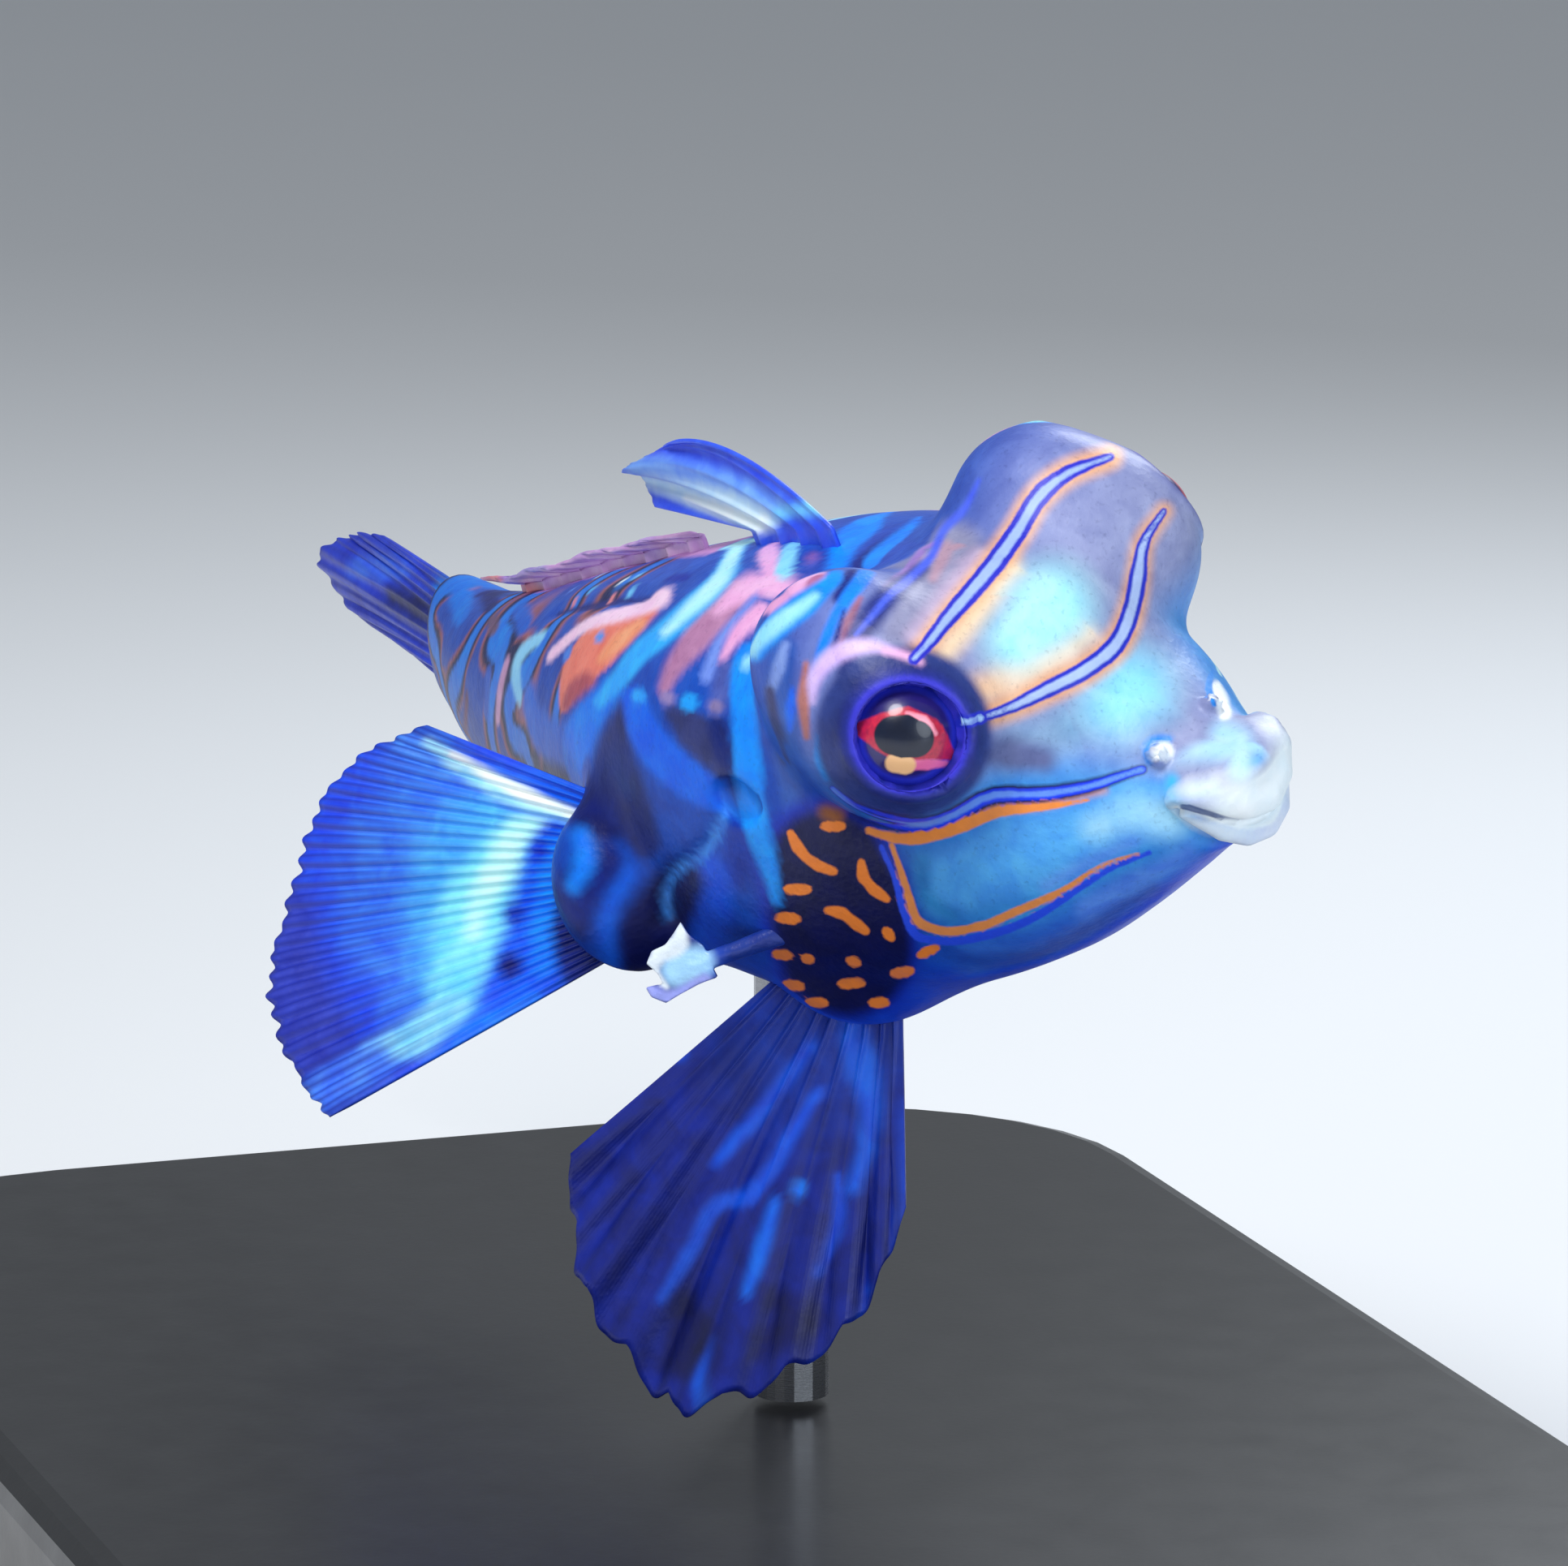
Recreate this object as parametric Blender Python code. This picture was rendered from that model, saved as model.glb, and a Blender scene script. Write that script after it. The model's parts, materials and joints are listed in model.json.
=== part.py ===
"""A mandarinfish as a still, life-size museum model, banked on a plain display stand.

The fish is first laid out straight, in millimetres: s runs back from the snout tip, y points to
the fish's left and z up. posed() then bends that straight fish into its stance over the stand.
"""

import math

import bmesh
import bpy
import numpy as np

MM = 0.001
GAP = 0.3  # between touching nodes

# The stance, in degrees
TRUNK_PITCH = 11.0  # nose up
TRUNK_ROLL = 14.0  # left side up
HEAD_TURN = 21.0  # to the fish's left
HEAD_PITCH = -6.0
HEAD_ROLL = 14.0
TAIL_TURN = 6.0
TAIL_PITCH = 12.0
HEAD_FREE, HEAD_BLEND = 4.0, 24.0  # the neck bends over this stretch behind the snout
TAIL_FREE, TAIL_BLEND = 34.0, 26.0
PIVOT = 26.0  # the station over the middle of the stand
PIVOT_HEIGHT = 25.5

# station, half width, top, widest height, bottom, squareness
BODY = (
    (0.0, 0.6, -1.3, -1.9, -2.4, 2.0),
    (1.9, 2.0, 0.1, -1.8, -3.2, 2.0),
    (3.5, 3.0, 1.5, -1.8, -4.1, 2.1),
    (5.5, 4.2, 2.9, -1.8, -5.2, 2.2),
    (8.0, 5.2, 4.0, -1.8, -6.3, 2.3),
    (11.0, 6.0, 4.7, -1.9, -7.1, 2.4),
    (14.0, 6.5, 5.0, -1.9, -7.7, 2.45),
    (17.0, 6.7, 5.0, -1.8, -7.8, 2.4),
    (21.0, 6.4, 4.8, -1.6, -7.6, 2.3),
    (27.0, 5.5, 4.5, -1.2, -6.8, 2.2),
    (34.0, 4.3, 4.1, -0.7, -5.5, 2.15),
    (42.0, 3.1, 3.5, -0.2, -4.1, 2.1),
    (50.0, 2.0, 2.8, 0.0, -3.0, 2.1),
    (56.0, 1.3, 2.5, 0.0, -2.3, 2.1),
)
HEAD_START, HEAD_END, TRUNK_END, BODY_END = 1.9, 15.5, 42.0, 55.5
SECTION_POINTS = 42

EYE = (7.7, 4.3, 2.8)  # centre of the left eye's dome
DOME_RADIUS = 2.4
EYE_RADIUS = 1.7
EYE_FORWARD = 0.7  # the ball sits this far out along its gaze
GAZES = {-1: (0.78, 0.50, 0.30), 1: (0.35, 0.88, 0.25)}  # forward, out and up, of the right eye and the left
FILLET = 1.1
MOUTH_DIP = 0.42  # how fast the line of the mouth rises from its middle to the corners
NOSTRIL = (2.3, 1.1)  # station and distance from the midline
NOSTRIL_RADIUS, NOSTRIL_HEIGHT = 0.3, 0.45
GILL_PORE, PORE_RADIUS = (13.9, 6.2, 0.6), 0.75
SPINE_BASE, SPINE_TIP = (13.6, 5.2, -3.4), (17.4, 9.0, -4.2)  # the hooked spine at the gill cover
SPINE_RADIUS = 0.6
BROW, BROW_RADII = (9.3, 3.7, 3.4), (3.4, 2.7, 3.4)  # the broad mound that the dome stands on
SADDLE, SADDLE_RADII = (8.8, 0.0, 2.4), (4.2, 4.6, 3.1)  # fills the hollow between the domes
PECTORAL_LOBE, PECTORAL_LOBE_RADII = (21.2, 6.6, -2.9), (1.6, 2.0, 2.5)
PELVIC_LOBE, PELVIC_LOBE_RADII = (14.9, 4.1, -6.2), (2.0, 1.5, 1.2)

COLOURS = {
    "skin": (0.05, 0.30, 0.75),
    "lips": (0.80, 0.92, 1.00),
    "eyes": (0.60, 0.08, 0.12),
    "fins": (0.04, 0.20, 0.80),
    "stand": (0.03, 0.03, 0.035),
    "rod": (0.55, 0.56, 0.58),
}


def smooth(x):
    x = np.clip(x, 0.0, 1.0)
    return x * x * (3.0 - 2.0 * x)


def unit(v):
    return v / np.maximum(np.linalg.norm(v, axis=-1, keepdims=True), 1e-12)


def eased(s, stations, values):
    """Values between stations, on a smooth curve with no overshoot."""
    x = np.asarray(stations, float)
    v = np.asarray(values, float)
    slope = np.diff(v) / np.diff(x)
    both = slope[1:] * slope[:-1]
    inner = np.where(both > 0, 2 * both / (slope[1:] + slope[:-1] + 1e-12), 0)
    tangent = np.concatenate([slope[:1], inner, slope[-1:]])
    s = np.clip(np.asarray(s, float), x[0], x[-1])
    i = np.clip(np.searchsorted(x, s, side="right") - 1, 0, len(x) - 2)
    h = x[i + 1] - x[i]
    t = (s - x[i]) / h
    a = (1 + 2 * t) * (1 - t) ** 2 * v[i] + t * (1 - t) ** 2 * h * tangent[i]
    return a + t * t * (3 - 2 * t) * v[i + 1] + t * t * (t - 1) * h * tangent[i + 1]


def angles_at(s):
    """Yaw, pitch and roll of the body's frame at a station, in radians."""
    head = 1.0 - smooth((s - HEAD_FREE) / HEAD_BLEND)
    tail = smooth((s - TAIL_FREE) / TAIL_BLEND)
    yaw = HEAD_TURN * head - TAIL_TURN * tail
    pitch = TRUNK_PITCH + HEAD_PITCH * head - TAIL_PITCH * tail
    roll = TRUNK_ROLL + HEAD_ROLL * head
    return np.radians(yaw), np.radians(pitch), np.radians(roll)


def axes_at(s):
    """The forward, left and up directions at each station, as three arrays."""
    yaw, pitch, roll = angles_at(np.asarray(s, float))
    forward = np.stack([np.cos(pitch) * np.cos(yaw), np.cos(pitch) * np.sin(yaw), np.sin(pitch)], -1)
    level = np.stack([-np.sin(yaw), np.cos(yaw), np.zeros_like(yaw)], -1)
    rise = np.cross(forward, level)
    cr, sr = np.cos(roll)[..., None], np.sin(roll)[..., None]
    return forward, level * cr + rise * sr, rise * cr - level * sr


STEPS = np.linspace(-5.0, 80.0, 1701)


def spine_curve():
    """The bent centreline, sampled at STEPS, passing over the stand at PIVOT."""
    forward = axes_at(STEPS)[0]
    step = STEPS[1] - STEPS[0]
    run = np.vstack([np.zeros(3), -np.cumsum((forward[1:] + forward[:-1]) / 2, axis=0) * step])
    middle = np.array([np.interp(PIVOT, STEPS, run[:, k]) for k in range(3)])
    return run - middle + np.array([0.0, 0.0, PIVOT_HEIGHT])


SPINE = spine_curve()


def posed(points, station=None):
    """Straight-fish points (s, y, z) in the stance; a station keeps the piece rigid with the body there."""
    p = np.asarray(points, float)
    s = p[..., 0] if station is None else np.full(p.shape[:-1], float(station))
    centre = np.stack([np.interp(s, STEPS, SPINE[:, k]) for k in range(3)], -1)
    forward, left, up = axes_at(s)
    return centre - forward * (p[..., 0] - s)[..., None] + left * p[..., 1:2] + up * p[..., 2:3]


def section(s):
    """Half width, top, widest height, bottom and squareness at each station."""
    table = np.array(BODY)
    return [eased(s, table[:, 0], table[:, k]) for k in range(1, 6)]


def blend_in(a, b, soft):
    """The smaller of two distances, with a fillet where they meet."""
    h = np.clip(0.5 + 0.5 * (b - a) / soft, 0.0, 1.0)
    return b + (a - b) * h - soft * h * (1.0 - h)


def ball(s, y, z, at, radii):
    """Rough distance outside an ellipsoid, mirrored to both sides of the fish."""
    rs, ry, rz = radii
    q = np.sqrt(((s - at[0]) / rs) ** 2 + ((np.abs(y) - at[1]) / ry) ** 2 + ((z - at[2]) / rz) ** 2)
    return (q - 1.0) * min(radii)


def flesh(s, y, z):
    """Rough distance outside the body, from its sections, eye domes and fleshy fin bases."""
    width, top, middle, bottom, square = section(s)
    height = np.where(z > middle, top - middle, middle - bottom)
    ring = (np.abs(y / width) ** square + np.abs((z - middle) / height) ** square) ** (1.0 / square)
    out = (ring - 1.0) * np.minimum(width, height)
    out = blend_in(out, ball(s, y, z, SADDLE, SADDLE_RADII), FILLET)
    out = blend_in(out, ball(s, y, z, BROW, BROW_RADII), FILLET)
    out = blend_in(out, ball(s, y, z, EYE, (DOME_RADIUS,) * 3), FILLET)
    out = blend_in(out, ball(s, y, z, PECTORAL_LOBE, PECTORAL_LOBE_RADII), FILLET)
    return blend_in(out, ball(s, y, z, PELVIC_LOBE, PELVIC_LOBE_RADII), FILLET)


def skin_point(s, angle):
    """Where a ray from the centreline, at an angle from the fish's left towards its back, leaves the body."""
    s, angle = np.broadcast_arrays(np.asarray(s, float), np.asarray(angle, float))
    middle = section(s)[2]
    low, high = np.zeros(s.shape), np.full(s.shape, 16.0)
    for _ in range(24):
        r = (low + high) / 2
        outside = flesh(s, r * np.cos(angle), middle + r * np.sin(angle)) > 0
        low, high = np.where(outside, low, r), np.where(outside, r, high)
    return np.stack([s, low * np.cos(angle), middle + low * np.sin(angle)], -1)


def material(name, roughness, metallic=0.0):
    found = bpy.data.materials.get(name)
    if found:
        return found
    made = bpy.data.materials.new(name)
    made.use_nodes = True
    surface = made.node_tree.nodes["Principled BSDF"]
    surface.inputs["Base Color"].default_value = (*COLOURS[name], 1.0)
    surface.inputs["Roughness"].default_value = roughness
    surface.inputs["Metallic"].default_value = metallic
    return made


def node(name, points, faces, slot, roughness=0.45):
    """One closed mesh object, with its origin at the middle of its points."""
    points = np.asarray(points, float).reshape(-1, 3) * MM
    middle = points.mean(axis=0)
    mesh = bpy.data.meshes.new(name)
    mesh.from_pydata((points - middle).tolist(), [], faces)
    mesh.validate()
    shape = bmesh.new()
    shape.from_mesh(mesh)
    bmesh.ops.remove_doubles(shape, verts=shape.verts, dist=1e-6)
    bmesh.ops.recalc_face_normals(shape, faces=shape.faces)
    if shape.calc_volume(signed=True) < 0:
        bmesh.ops.reverse_faces(shape, faces=shape.faces)
    shape.to_mesh(mesh)
    shape.free()
    made = bpy.data.objects.new(name, mesh)
    made.location = middle
    made.data.materials.append(material(slot, roughness))
    PARTS.objects.link(made)
    made.parent = HOLDER
    return made


def loft(rings):
    """Points and faces of a tube through closed rings of equal length, with flat ends."""
    count = len(rings[0])
    points = np.concatenate(rings)
    faces = []
    for i in range(len(rings) - 1):
        for j in range(count):
            k = (j + 1) % count
            faces.append((i * count + j, i * count + k, (i + 1) * count + k, (i + 1) * count + j))
    faces.append(tuple(range(count)))
    faces.append(tuple(range((len(rings) - 1) * count, len(rings) * count)))
    return points, faces


def cut(target, cutter, operation="DIFFERENCE"):
    """Applies one Boolean and removes the cutter."""
    change = target.modifiers.new("cut", "BOOLEAN")
    change.operation = operation
    change.solver = "EXACT"
    change.object = cutter
    bpy.context.view_layer.update()
    shape = bpy.data.meshes.new_from_object(target.evaluated_get(bpy.context.evaluated_depsgraph_get()))
    target.modifiers.remove(change)
    target.data = shape
    bpy.data.objects.remove(cutter)


def sphere(name, centre, radius, segments=24, rings=14):
    bpy.ops.mesh.primitive_uv_sphere_add(
        segments=segments, ring_count=rings, radius=radius * MM, location=centre * MM
    )
    made = bpy.context.object
    made.name = name
    for collection in list(made.users_collection):
        collection.objects.unlink(made)
    return made


def flesh_node(name, first, last, stations, slot="skin"):
    s = np.linspace(first, last, stations)
    angle = np.arange(SECTION_POINTS) / SECTION_POINTS * 2 * math.pi
    rings = [posed(skin_point(station, angle)) for station in s]
    return node(name, *loft(rings), slot)


def eye_place(side):
    """Centre of an eyeball in the straight fish; side is 1 for the left, -1 for the right."""
    forward, out, up = unit(np.array(GAZES[side])) * EYE_FORWARD
    return np.array([EYE[0] - forward, side * (EYE[1] + out), EYE[2] + up])


def tube(path, radii, sides=10):
    """Rings of points round a path in the straight fish, for a loft."""
    path = np.asarray(path, float)
    along = unit(np.gradient(path, axis=0))
    across = unit(np.cross(along, np.array([0.3, 0.2, 1.0])))
    other = np.cross(along, across)
    angle = np.arange(sides) / sides * 2 * math.pi
    return [
        posed(p + radius * (np.cos(angle)[:, None] * a + np.sin(angle)[:, None] * b))
        for p, radius, a, b in zip(path, radii, across, other)
    ]


def add_nostril(head, sides):
    """A short open tube on the snout, joined to the head."""
    s, y = NOSTRIL
    low, high = 0.0, 1.5
    for _ in range(20):
        angle = (low + high) / 2
        low, high = (angle, high) if skin_point(s, angle)[1] > y else (low, angle)
    foot = skin_point(s, low)
    out = unit(foot - np.array([s + 1.2, 0.0, section(s)[2]]))
    path = [foot + out * k for k in (-0.5, NOSTRIL_HEIGHT * 0.5, NOSTRIL_HEIGHT)]
    rings = tube(np.array(path) * sides, (1.3 * NOSTRIL_RADIUS, NOSTRIL_RADIUS * 1.1, NOSTRIL_RADIUS * 0.8))
    bump = node("nostril", *loft(rings), "skin")
    PARTS.objects.unlink(bump)
    CUTTERS.objects.link(bump)
    cut(head, bump, "UNION")


def build_gill_spines():
    """The short hooked spine at each gill cover's lower corner."""
    for side, name in ((1, "left"), (-1, "right")):
        inner, tip = np.array(SPINE_BASE), np.array(SPINE_TIP)
        start = grown_from(lambda t: np.tile(inner, (1, 1)), lambda t: np.tile(tip, (1, 1)))(np.zeros(1))[0]
        start = start + unit(tip - start) * SPINE_RADIUS * 0.5
        t = np.linspace(0.0, 1.0, 7)[:, None]
        hook = np.sin(t * math.pi / 2) * np.array([0.3, 0.0, 0.0]) + t ** 3 * np.array([-0.5, 0.1, 0.9])
        path = (start * (1 - t) + tip * t + hook) * np.array([1.0, side, 1.0])
        radii = SPINE_RADIUS * (1.0 - 0.86 * t[:, 0] ** 1.4)
        node("gill_spine_" + name, *loft(tube(path, radii)), "lips")


def build_body():
    head = flesh_node("head", HEAD_START, HEAD_END - GAP / 2, 28)
    for side, name in ((1, "left"), (-1, "right")):
        sides = np.array([1.0, side, 1.0])
        add_nostril(head, sides)
        pore = sphere("pore", posed(np.array(GILL_PORE) * sides), PORE_RADIUS, 12, 8)
        CUTTERS.objects.link(pore)
        cut(head, pore)
        centre = posed(eye_place(side))
        socket = sphere("socket", centre, EYE_RADIUS + GAP)
        CUTTERS.objects.link(socket)
        cut(head, socket)
        ball_node = sphere("eye_" + name, centre, EYE_RADIUS, 24, 14)
        ball_node.data.materials.append(material("eyes", 0.1))
        PARTS.objects.link(ball_node)
        ball_node.parent = HOLDER
    flesh_node("trunk", HEAD_END + GAP / 2, TRUNK_END - GAP / 2, 18)
    flesh_node("tail_stem", TRUNK_END + GAP / 2, BODY_END, 9)


def build_lips():
    """Two blunt lips in front of the head, parted along the line of the mouth, which dips in the middle."""
    angle = np.linspace(0, 2 * math.pi, 24, endpoint=False)
    for name, low, high, reach, width in (
        ("upper_lip", -2.15, 0.05, 2.0, 1.9),
        ("lower_lip", -3.05, -2.45, 1.0, 1.6),
    ):
        rings = []
        for t in np.linspace(0.0, 1.0, 8):
            swell = math.sqrt(max(1.0 - (0.97 * t) ** 2.4, 0.0))
            s = HEAD_START - GAP - reach * t
            y = width * swell * np.cos(angle)
            z = (low + high) / 2 + (high - low) / 2 * (0.35 + 0.65 * swell) * np.sin(angle)
            dip = MOUTH_DIP * y ** 2
            if name == "upper_lip":
                dip = dip * np.maximum(-np.sin(angle), 0.0)
            rings.append(posed(np.stack([np.full(24, s), y, z + dip], -1)))
        node(name, *loft(rings), "lips")


def fin(name, root, tip, rays, slot="fins", across=3, along=7, membrane=0.5, ray=0.9, bow=None, station=None):
    """A fan of rays with membrane between them.

    root(t) and tip(t) give straight-fish points for t from 0 to 1 across the fan; bow(t, r) adds
    a curl. Each ray is a ridge in both faces, thinning towards the tip.
    """
    columns = (rays - 1) * across + 1
    t = np.linspace(0.0, 1.0, columns)
    r = np.linspace(0.0, 1.0, along)
    grid_t, grid_r = np.meshgrid(t, r)
    sheet = root(grid_t) * (1 - grid_r[..., None]) + tip(grid_t) * grid_r[..., None]
    if bow:
        sheet = sheet + bow(grid_t, grid_r)
    sheet = posed(sheet, station)
    du = np.gradient(sheet, axis=1)
    dv = np.gradient(sheet, axis=0)
    normal = unit(np.cross(du, dv))
    crest = 0.5 + 0.5 * np.cos(grid_t * (rays - 1) * 2 * math.pi)
    half = (membrane + (ray - membrane) * crest * (1 - 0.6 * grid_r)) / 2
    front = (sheet + normal * half[..., None]).reshape(-1, 3)
    back = (sheet - normal * half[..., None]).reshape(-1, 3)
    faces = []
    size = along * columns
    for i in range(along - 1):
        for j in range(columns - 1):
            a, b = i * columns + j, i * columns + j + 1
            c, d = b + columns, a + columns
            faces += [(a, b, c), (a, c, d), (size + a, size + c, size + b), (size + a, size + d, size + c)]
    rim = [j for j in range(columns)]
    rim += [i * columns + columns - 1 for i in range(1, along)]
    rim += [(along - 1) * columns + j for j in range(columns - 2, -1, -1)]
    rim += [i * columns for i in range(along - 2, 0, -1)]
    for a, b in zip(rim, rim[1:] + rim[:1]):
        faces.append((a, size + a, size + b, b))
    return node(name, np.concatenate([front, back]), faces, slot)


def along_line(*points):
    """A function of t through a few points, for a fin's root or its outer margin."""
    points = np.array(points, float)
    lengths = np.concatenate([[0.0], np.cumsum(np.linalg.norm(np.diff(points, axis=0), axis=1))])
    return lambda t: np.stack([eased(t * lengths[-1], lengths, points[:, k]) for k in range(3)], -1)


def sided(function, side):
    return lambda t: function(t) * np.array([1.0, side, 1.0])


def grown_from(inner, tip):
    """A root just off the skin, where the line from inside the body to the fin's margin comes out."""

    def place(t):
        start, end = inner(t), tip(t)
        low, high = np.zeros(t.shape), np.ones(t.shape)
        for _ in range(20):
            k = (low + high) / 2
            p = start + (end - start) * k[..., None]
            inside = flesh(p[..., 0], p[..., 1], p[..., 2]) < ROOT_GAP
            low, high = np.where(inside, k, low), np.where(inside, high, k)
        return start + (end - start) * high[..., None]

    return place


def back_line(first, last, side):
    """A root along the back (side 1) or the belly (side -1) from one station to another."""

    def place(t):
        s = first + (last - first) * t
        return skin_point(s, side * math.pi / 2) + np.array([0.0, 0.0, side * ROOT_GAP])

    return place


ROOT_GAP = 0.4  # a little over GAP, since a root's end face is flat and the skin is not
FIRST_DORSAL = (14.2, 19.4)  # stations of each fin's root
SECOND_DORSAL = (24.0, 44.0)
ANAL = (31.0, 46.0)
CAUDAL_ROOT = ((BODY_END + GAP, 0.0, 2.25), (BODY_END + GAP, 0.0, -2.35))
# outer margins, from the first ray's tip to the last's
FIRST_DORSAL_TIP = ((24.2, 0.0, 7.7), (26.6, 0.1, 6.9), (26.4, 0.0, 6.1))
SECOND_DORSAL_TIP = ((28.5, -0.4, 5.1), (38.0, -0.5, 4.5), (48.5, -0.3, 3.5))
ANAL_TIP = ((35.0, 0.3, -8.4), (43.0, 0.4, -7.2), (51.5, 0.2, -4.2))
CAUDAL_TIP = ((65.2, -0.6, 2.3), (68.8, -1.7, 1.6), (70.2, -2.3, 0.6), (69.2, -2.0, -0.4), (66.4, -1.0, -1.3))
PECTORAL_INNER = ((20.8, 5.4, -1.2), (21.0, 5.6, -2.9), (21.0, 5.4, -4.4))
PECTORAL_SPREAD = (
    (28.3, 8.2, 2.5), (29.4, 9.3, 2.2), (30.6, 11.2, 0.9), (30.9, 13.6, -2.1), (29.3, 15.1, -4.8),
    (27.2, 15.6, -6.8),
)
PECTORAL_FOLDED = (
    (31.0, 8.4, 0.4), (33.0, 9.0, -1.0), (33.6, 9.6, -2.8), (32.6, 9.8, -4.8), (30.0, 9.6, -6.4),
)
PELVIC_INNER = ((13.9, 3.3, -5.6), (15.0, 3.9, -5.4), (16.2, 4.4, -5.0))
PELVIC_SPREAD = ((14.0, 6.5, -12.4), (15.0, 9.0, -14.8), (16.8, 11.7, -15.5), (18.4, 13.4, -15.2),
                 (20.6, 13.3, -12.2), (21.8, 11.8, -8.4))
PELVIC_FOLDED = (
    (20.6, 3.2, -10.1), (24.0, 4.2, -10.5), (25.8, 5.5, -10.3), (25.2, 6.7, -9.8), (22.8, 7.3, -9.2),
)


def spine_curl(t, r):
    """The first spines arch upwards along the front edge."""
    lift = 1.2 * 4 * r * (1 - r) * (1 - t)
    return np.stack([0 * lift, 0.25 * np.sin(3 * math.pi * t) * r, lift], -1)


def cup(depth, axis):
    """Bows a fan out of its plane along a direction, most in its middle."""
    return lambda t, r: (depth * np.sin(math.pi * t) * r * (1.4 - r))[..., None] * np.array(axis)


def build_fins():
    fin("first_dorsal_fin", back_line(*FIRST_DORSAL, 1), along_line(*FIRST_DORSAL_TIP), 4, across=6, along=8,
        bow=spine_curl, station=19.0)
    fin("second_dorsal_fin", back_line(*SECOND_DORSAL, 1), along_line(*SECOND_DORSAL_TIP), 9, across=4, along=4)
    fin("anal_fin", back_line(*ANAL, -1), along_line(*ANAL_TIP), 8, across=4, along=5)
    fin("caudal_fin", along_line(*CAUDAL_ROOT), along_line(*CAUDAL_TIP), 10, across=4, along=8,
        bow=cup(0.5, (0.0, 1.0, 0.0)), station=BODY_END)
    for name, side, pectoral, pelvic in (
        ("left", 1, PECTORAL_FOLDED, PELVIC_FOLDED),
        ("right", -1, PECTORAL_SPREAD, PELVIC_SPREAD),
    ):
        tip = along_line(*pectoral)
        fin("pectoral_fin_" + name, sided(grown_from(along_line(*PECTORAL_INNER), tip), side), sided(tip, side),
            14, across=4, along=8, bow=cup(0.9, (1.0, 0.0, 0.0)), station=21.0)
        tip = along_line(*pelvic)
        fin("pelvic_fin_" + name, sided(grown_from(along_line(*PELVIC_INNER), tip), side), sided(tip, side),
            7, across=6, along=9, bow=cup(1.2, (1.0, 0.0, -0.3)), station=14.5)


STAND_SIZE = (68.0, 44.0, 4.5)
STAND_CORNER = 10.0
ROD_RADIUS = 1.1
ROD_STATION = 27.0


def build_stand():
    """A rounded plate with bevelled edges and one rod up to the belly."""
    long, wide, thick = STAND_SIZE
    bpy.ops.mesh.primitive_cube_add(size=1.0, location=(0.0, 0.0, thick / 2 * MM))
    base = bpy.context.object
    base.name = "stand_base"
    base.scale = (long * MM, wide * MM, thick * MM)
    bpy.ops.object.transform_apply(location=False, rotation=False, scale=True)
    corners = bmesh.new()
    corners.from_mesh(base.data)
    upright = [e for e in corners.edges if abs(e.verts[0].co.z - e.verts[1].co.z) > 1e-5]
    bmesh.ops.bevel(corners, geom=upright, offset=STAND_CORNER * MM, segments=8, affect="EDGES", profile=0.5)
    top = [e for e in corners.edges if all(v.co.z > 1e-5 for v in e.verts) and len(e.link_faces) == 2
           and any(abs(f.normal.z) > 0.9 for f in e.link_faces) and any(abs(f.normal.z) < 0.1 for f in e.link_faces)]
    bmesh.ops.bevel(corners, geom=top, offset=1.0 * MM, segments=3, affect="EDGES", profile=0.5)
    corners.to_mesh(base.data)
    corners.free()
    base.data.materials.append(material("stand", 0.35))
    for collection in list(base.users_collection):
        collection.objects.unlink(base)
    PARTS.objects.link(base)
    belly = posed(skin_point(ROD_STATION, -math.pi / 2))
    low, high = thick + GAP, belly[2] - GAP - 0.5
    bpy.ops.mesh.primitive_cylinder_add(vertices=24, radius=ROD_RADIUS * MM, depth=(high - low) * MM,
                                        location=(belly[0] * MM, belly[1] * MM, (low + high) / 2 * MM))
    rod = bpy.context.object
    rod.name = "stand_rod"
    rod.data.materials.append(material("rod", 0.25, 1.0))
    for collection in list(rod.users_collection):
        collection.objects.unlink(rod)
    PARTS.objects.link(rod)


for leftover in list(bpy.data.objects):
    bpy.data.objects.remove(leftover, do_unlink=True)
PARTS = bpy.data.collections.new("mandarinfish")
CUTTERS = bpy.data.collections.new("cutters")
CUTTERS.hide_render = True
bpy.context.scene.collection.children.link(PARTS)
bpy.context.scene.collection.children.link(CUTTERS)
HOLDER = bpy.data.objects.new("mandarinfish", None)
PARTS.objects.link(HOLDER)

build_body()
build_lips()
build_gill_spines()
build_fins()
build_stand()
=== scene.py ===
"""A mandarinfish museum model: one painted skin, glossy eyes, rayed fins and a studio stage.

The fish is laid out straight first, in millimetres: s runs back from the snout tip, y points to
the fish's left and z up. posed() bends it into its stance over the stand, as the solids are.
Markings, and a few painted highlights and painted shade, are drawn as strokes through named places
of the view, laid on the skin along the lines of sight and mirrored to the other side.
"""

import json
import math

import bmesh
import bpy
import numpy as np
from bpy.props import FloatProperty, FloatVectorProperty, IntProperty, PointerProperty
from bpy.types import Operator, Panel, PropertyGroup
from mathutils import Matrix, Vector
from mathutils.bvhtree import BVHTree

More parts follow.
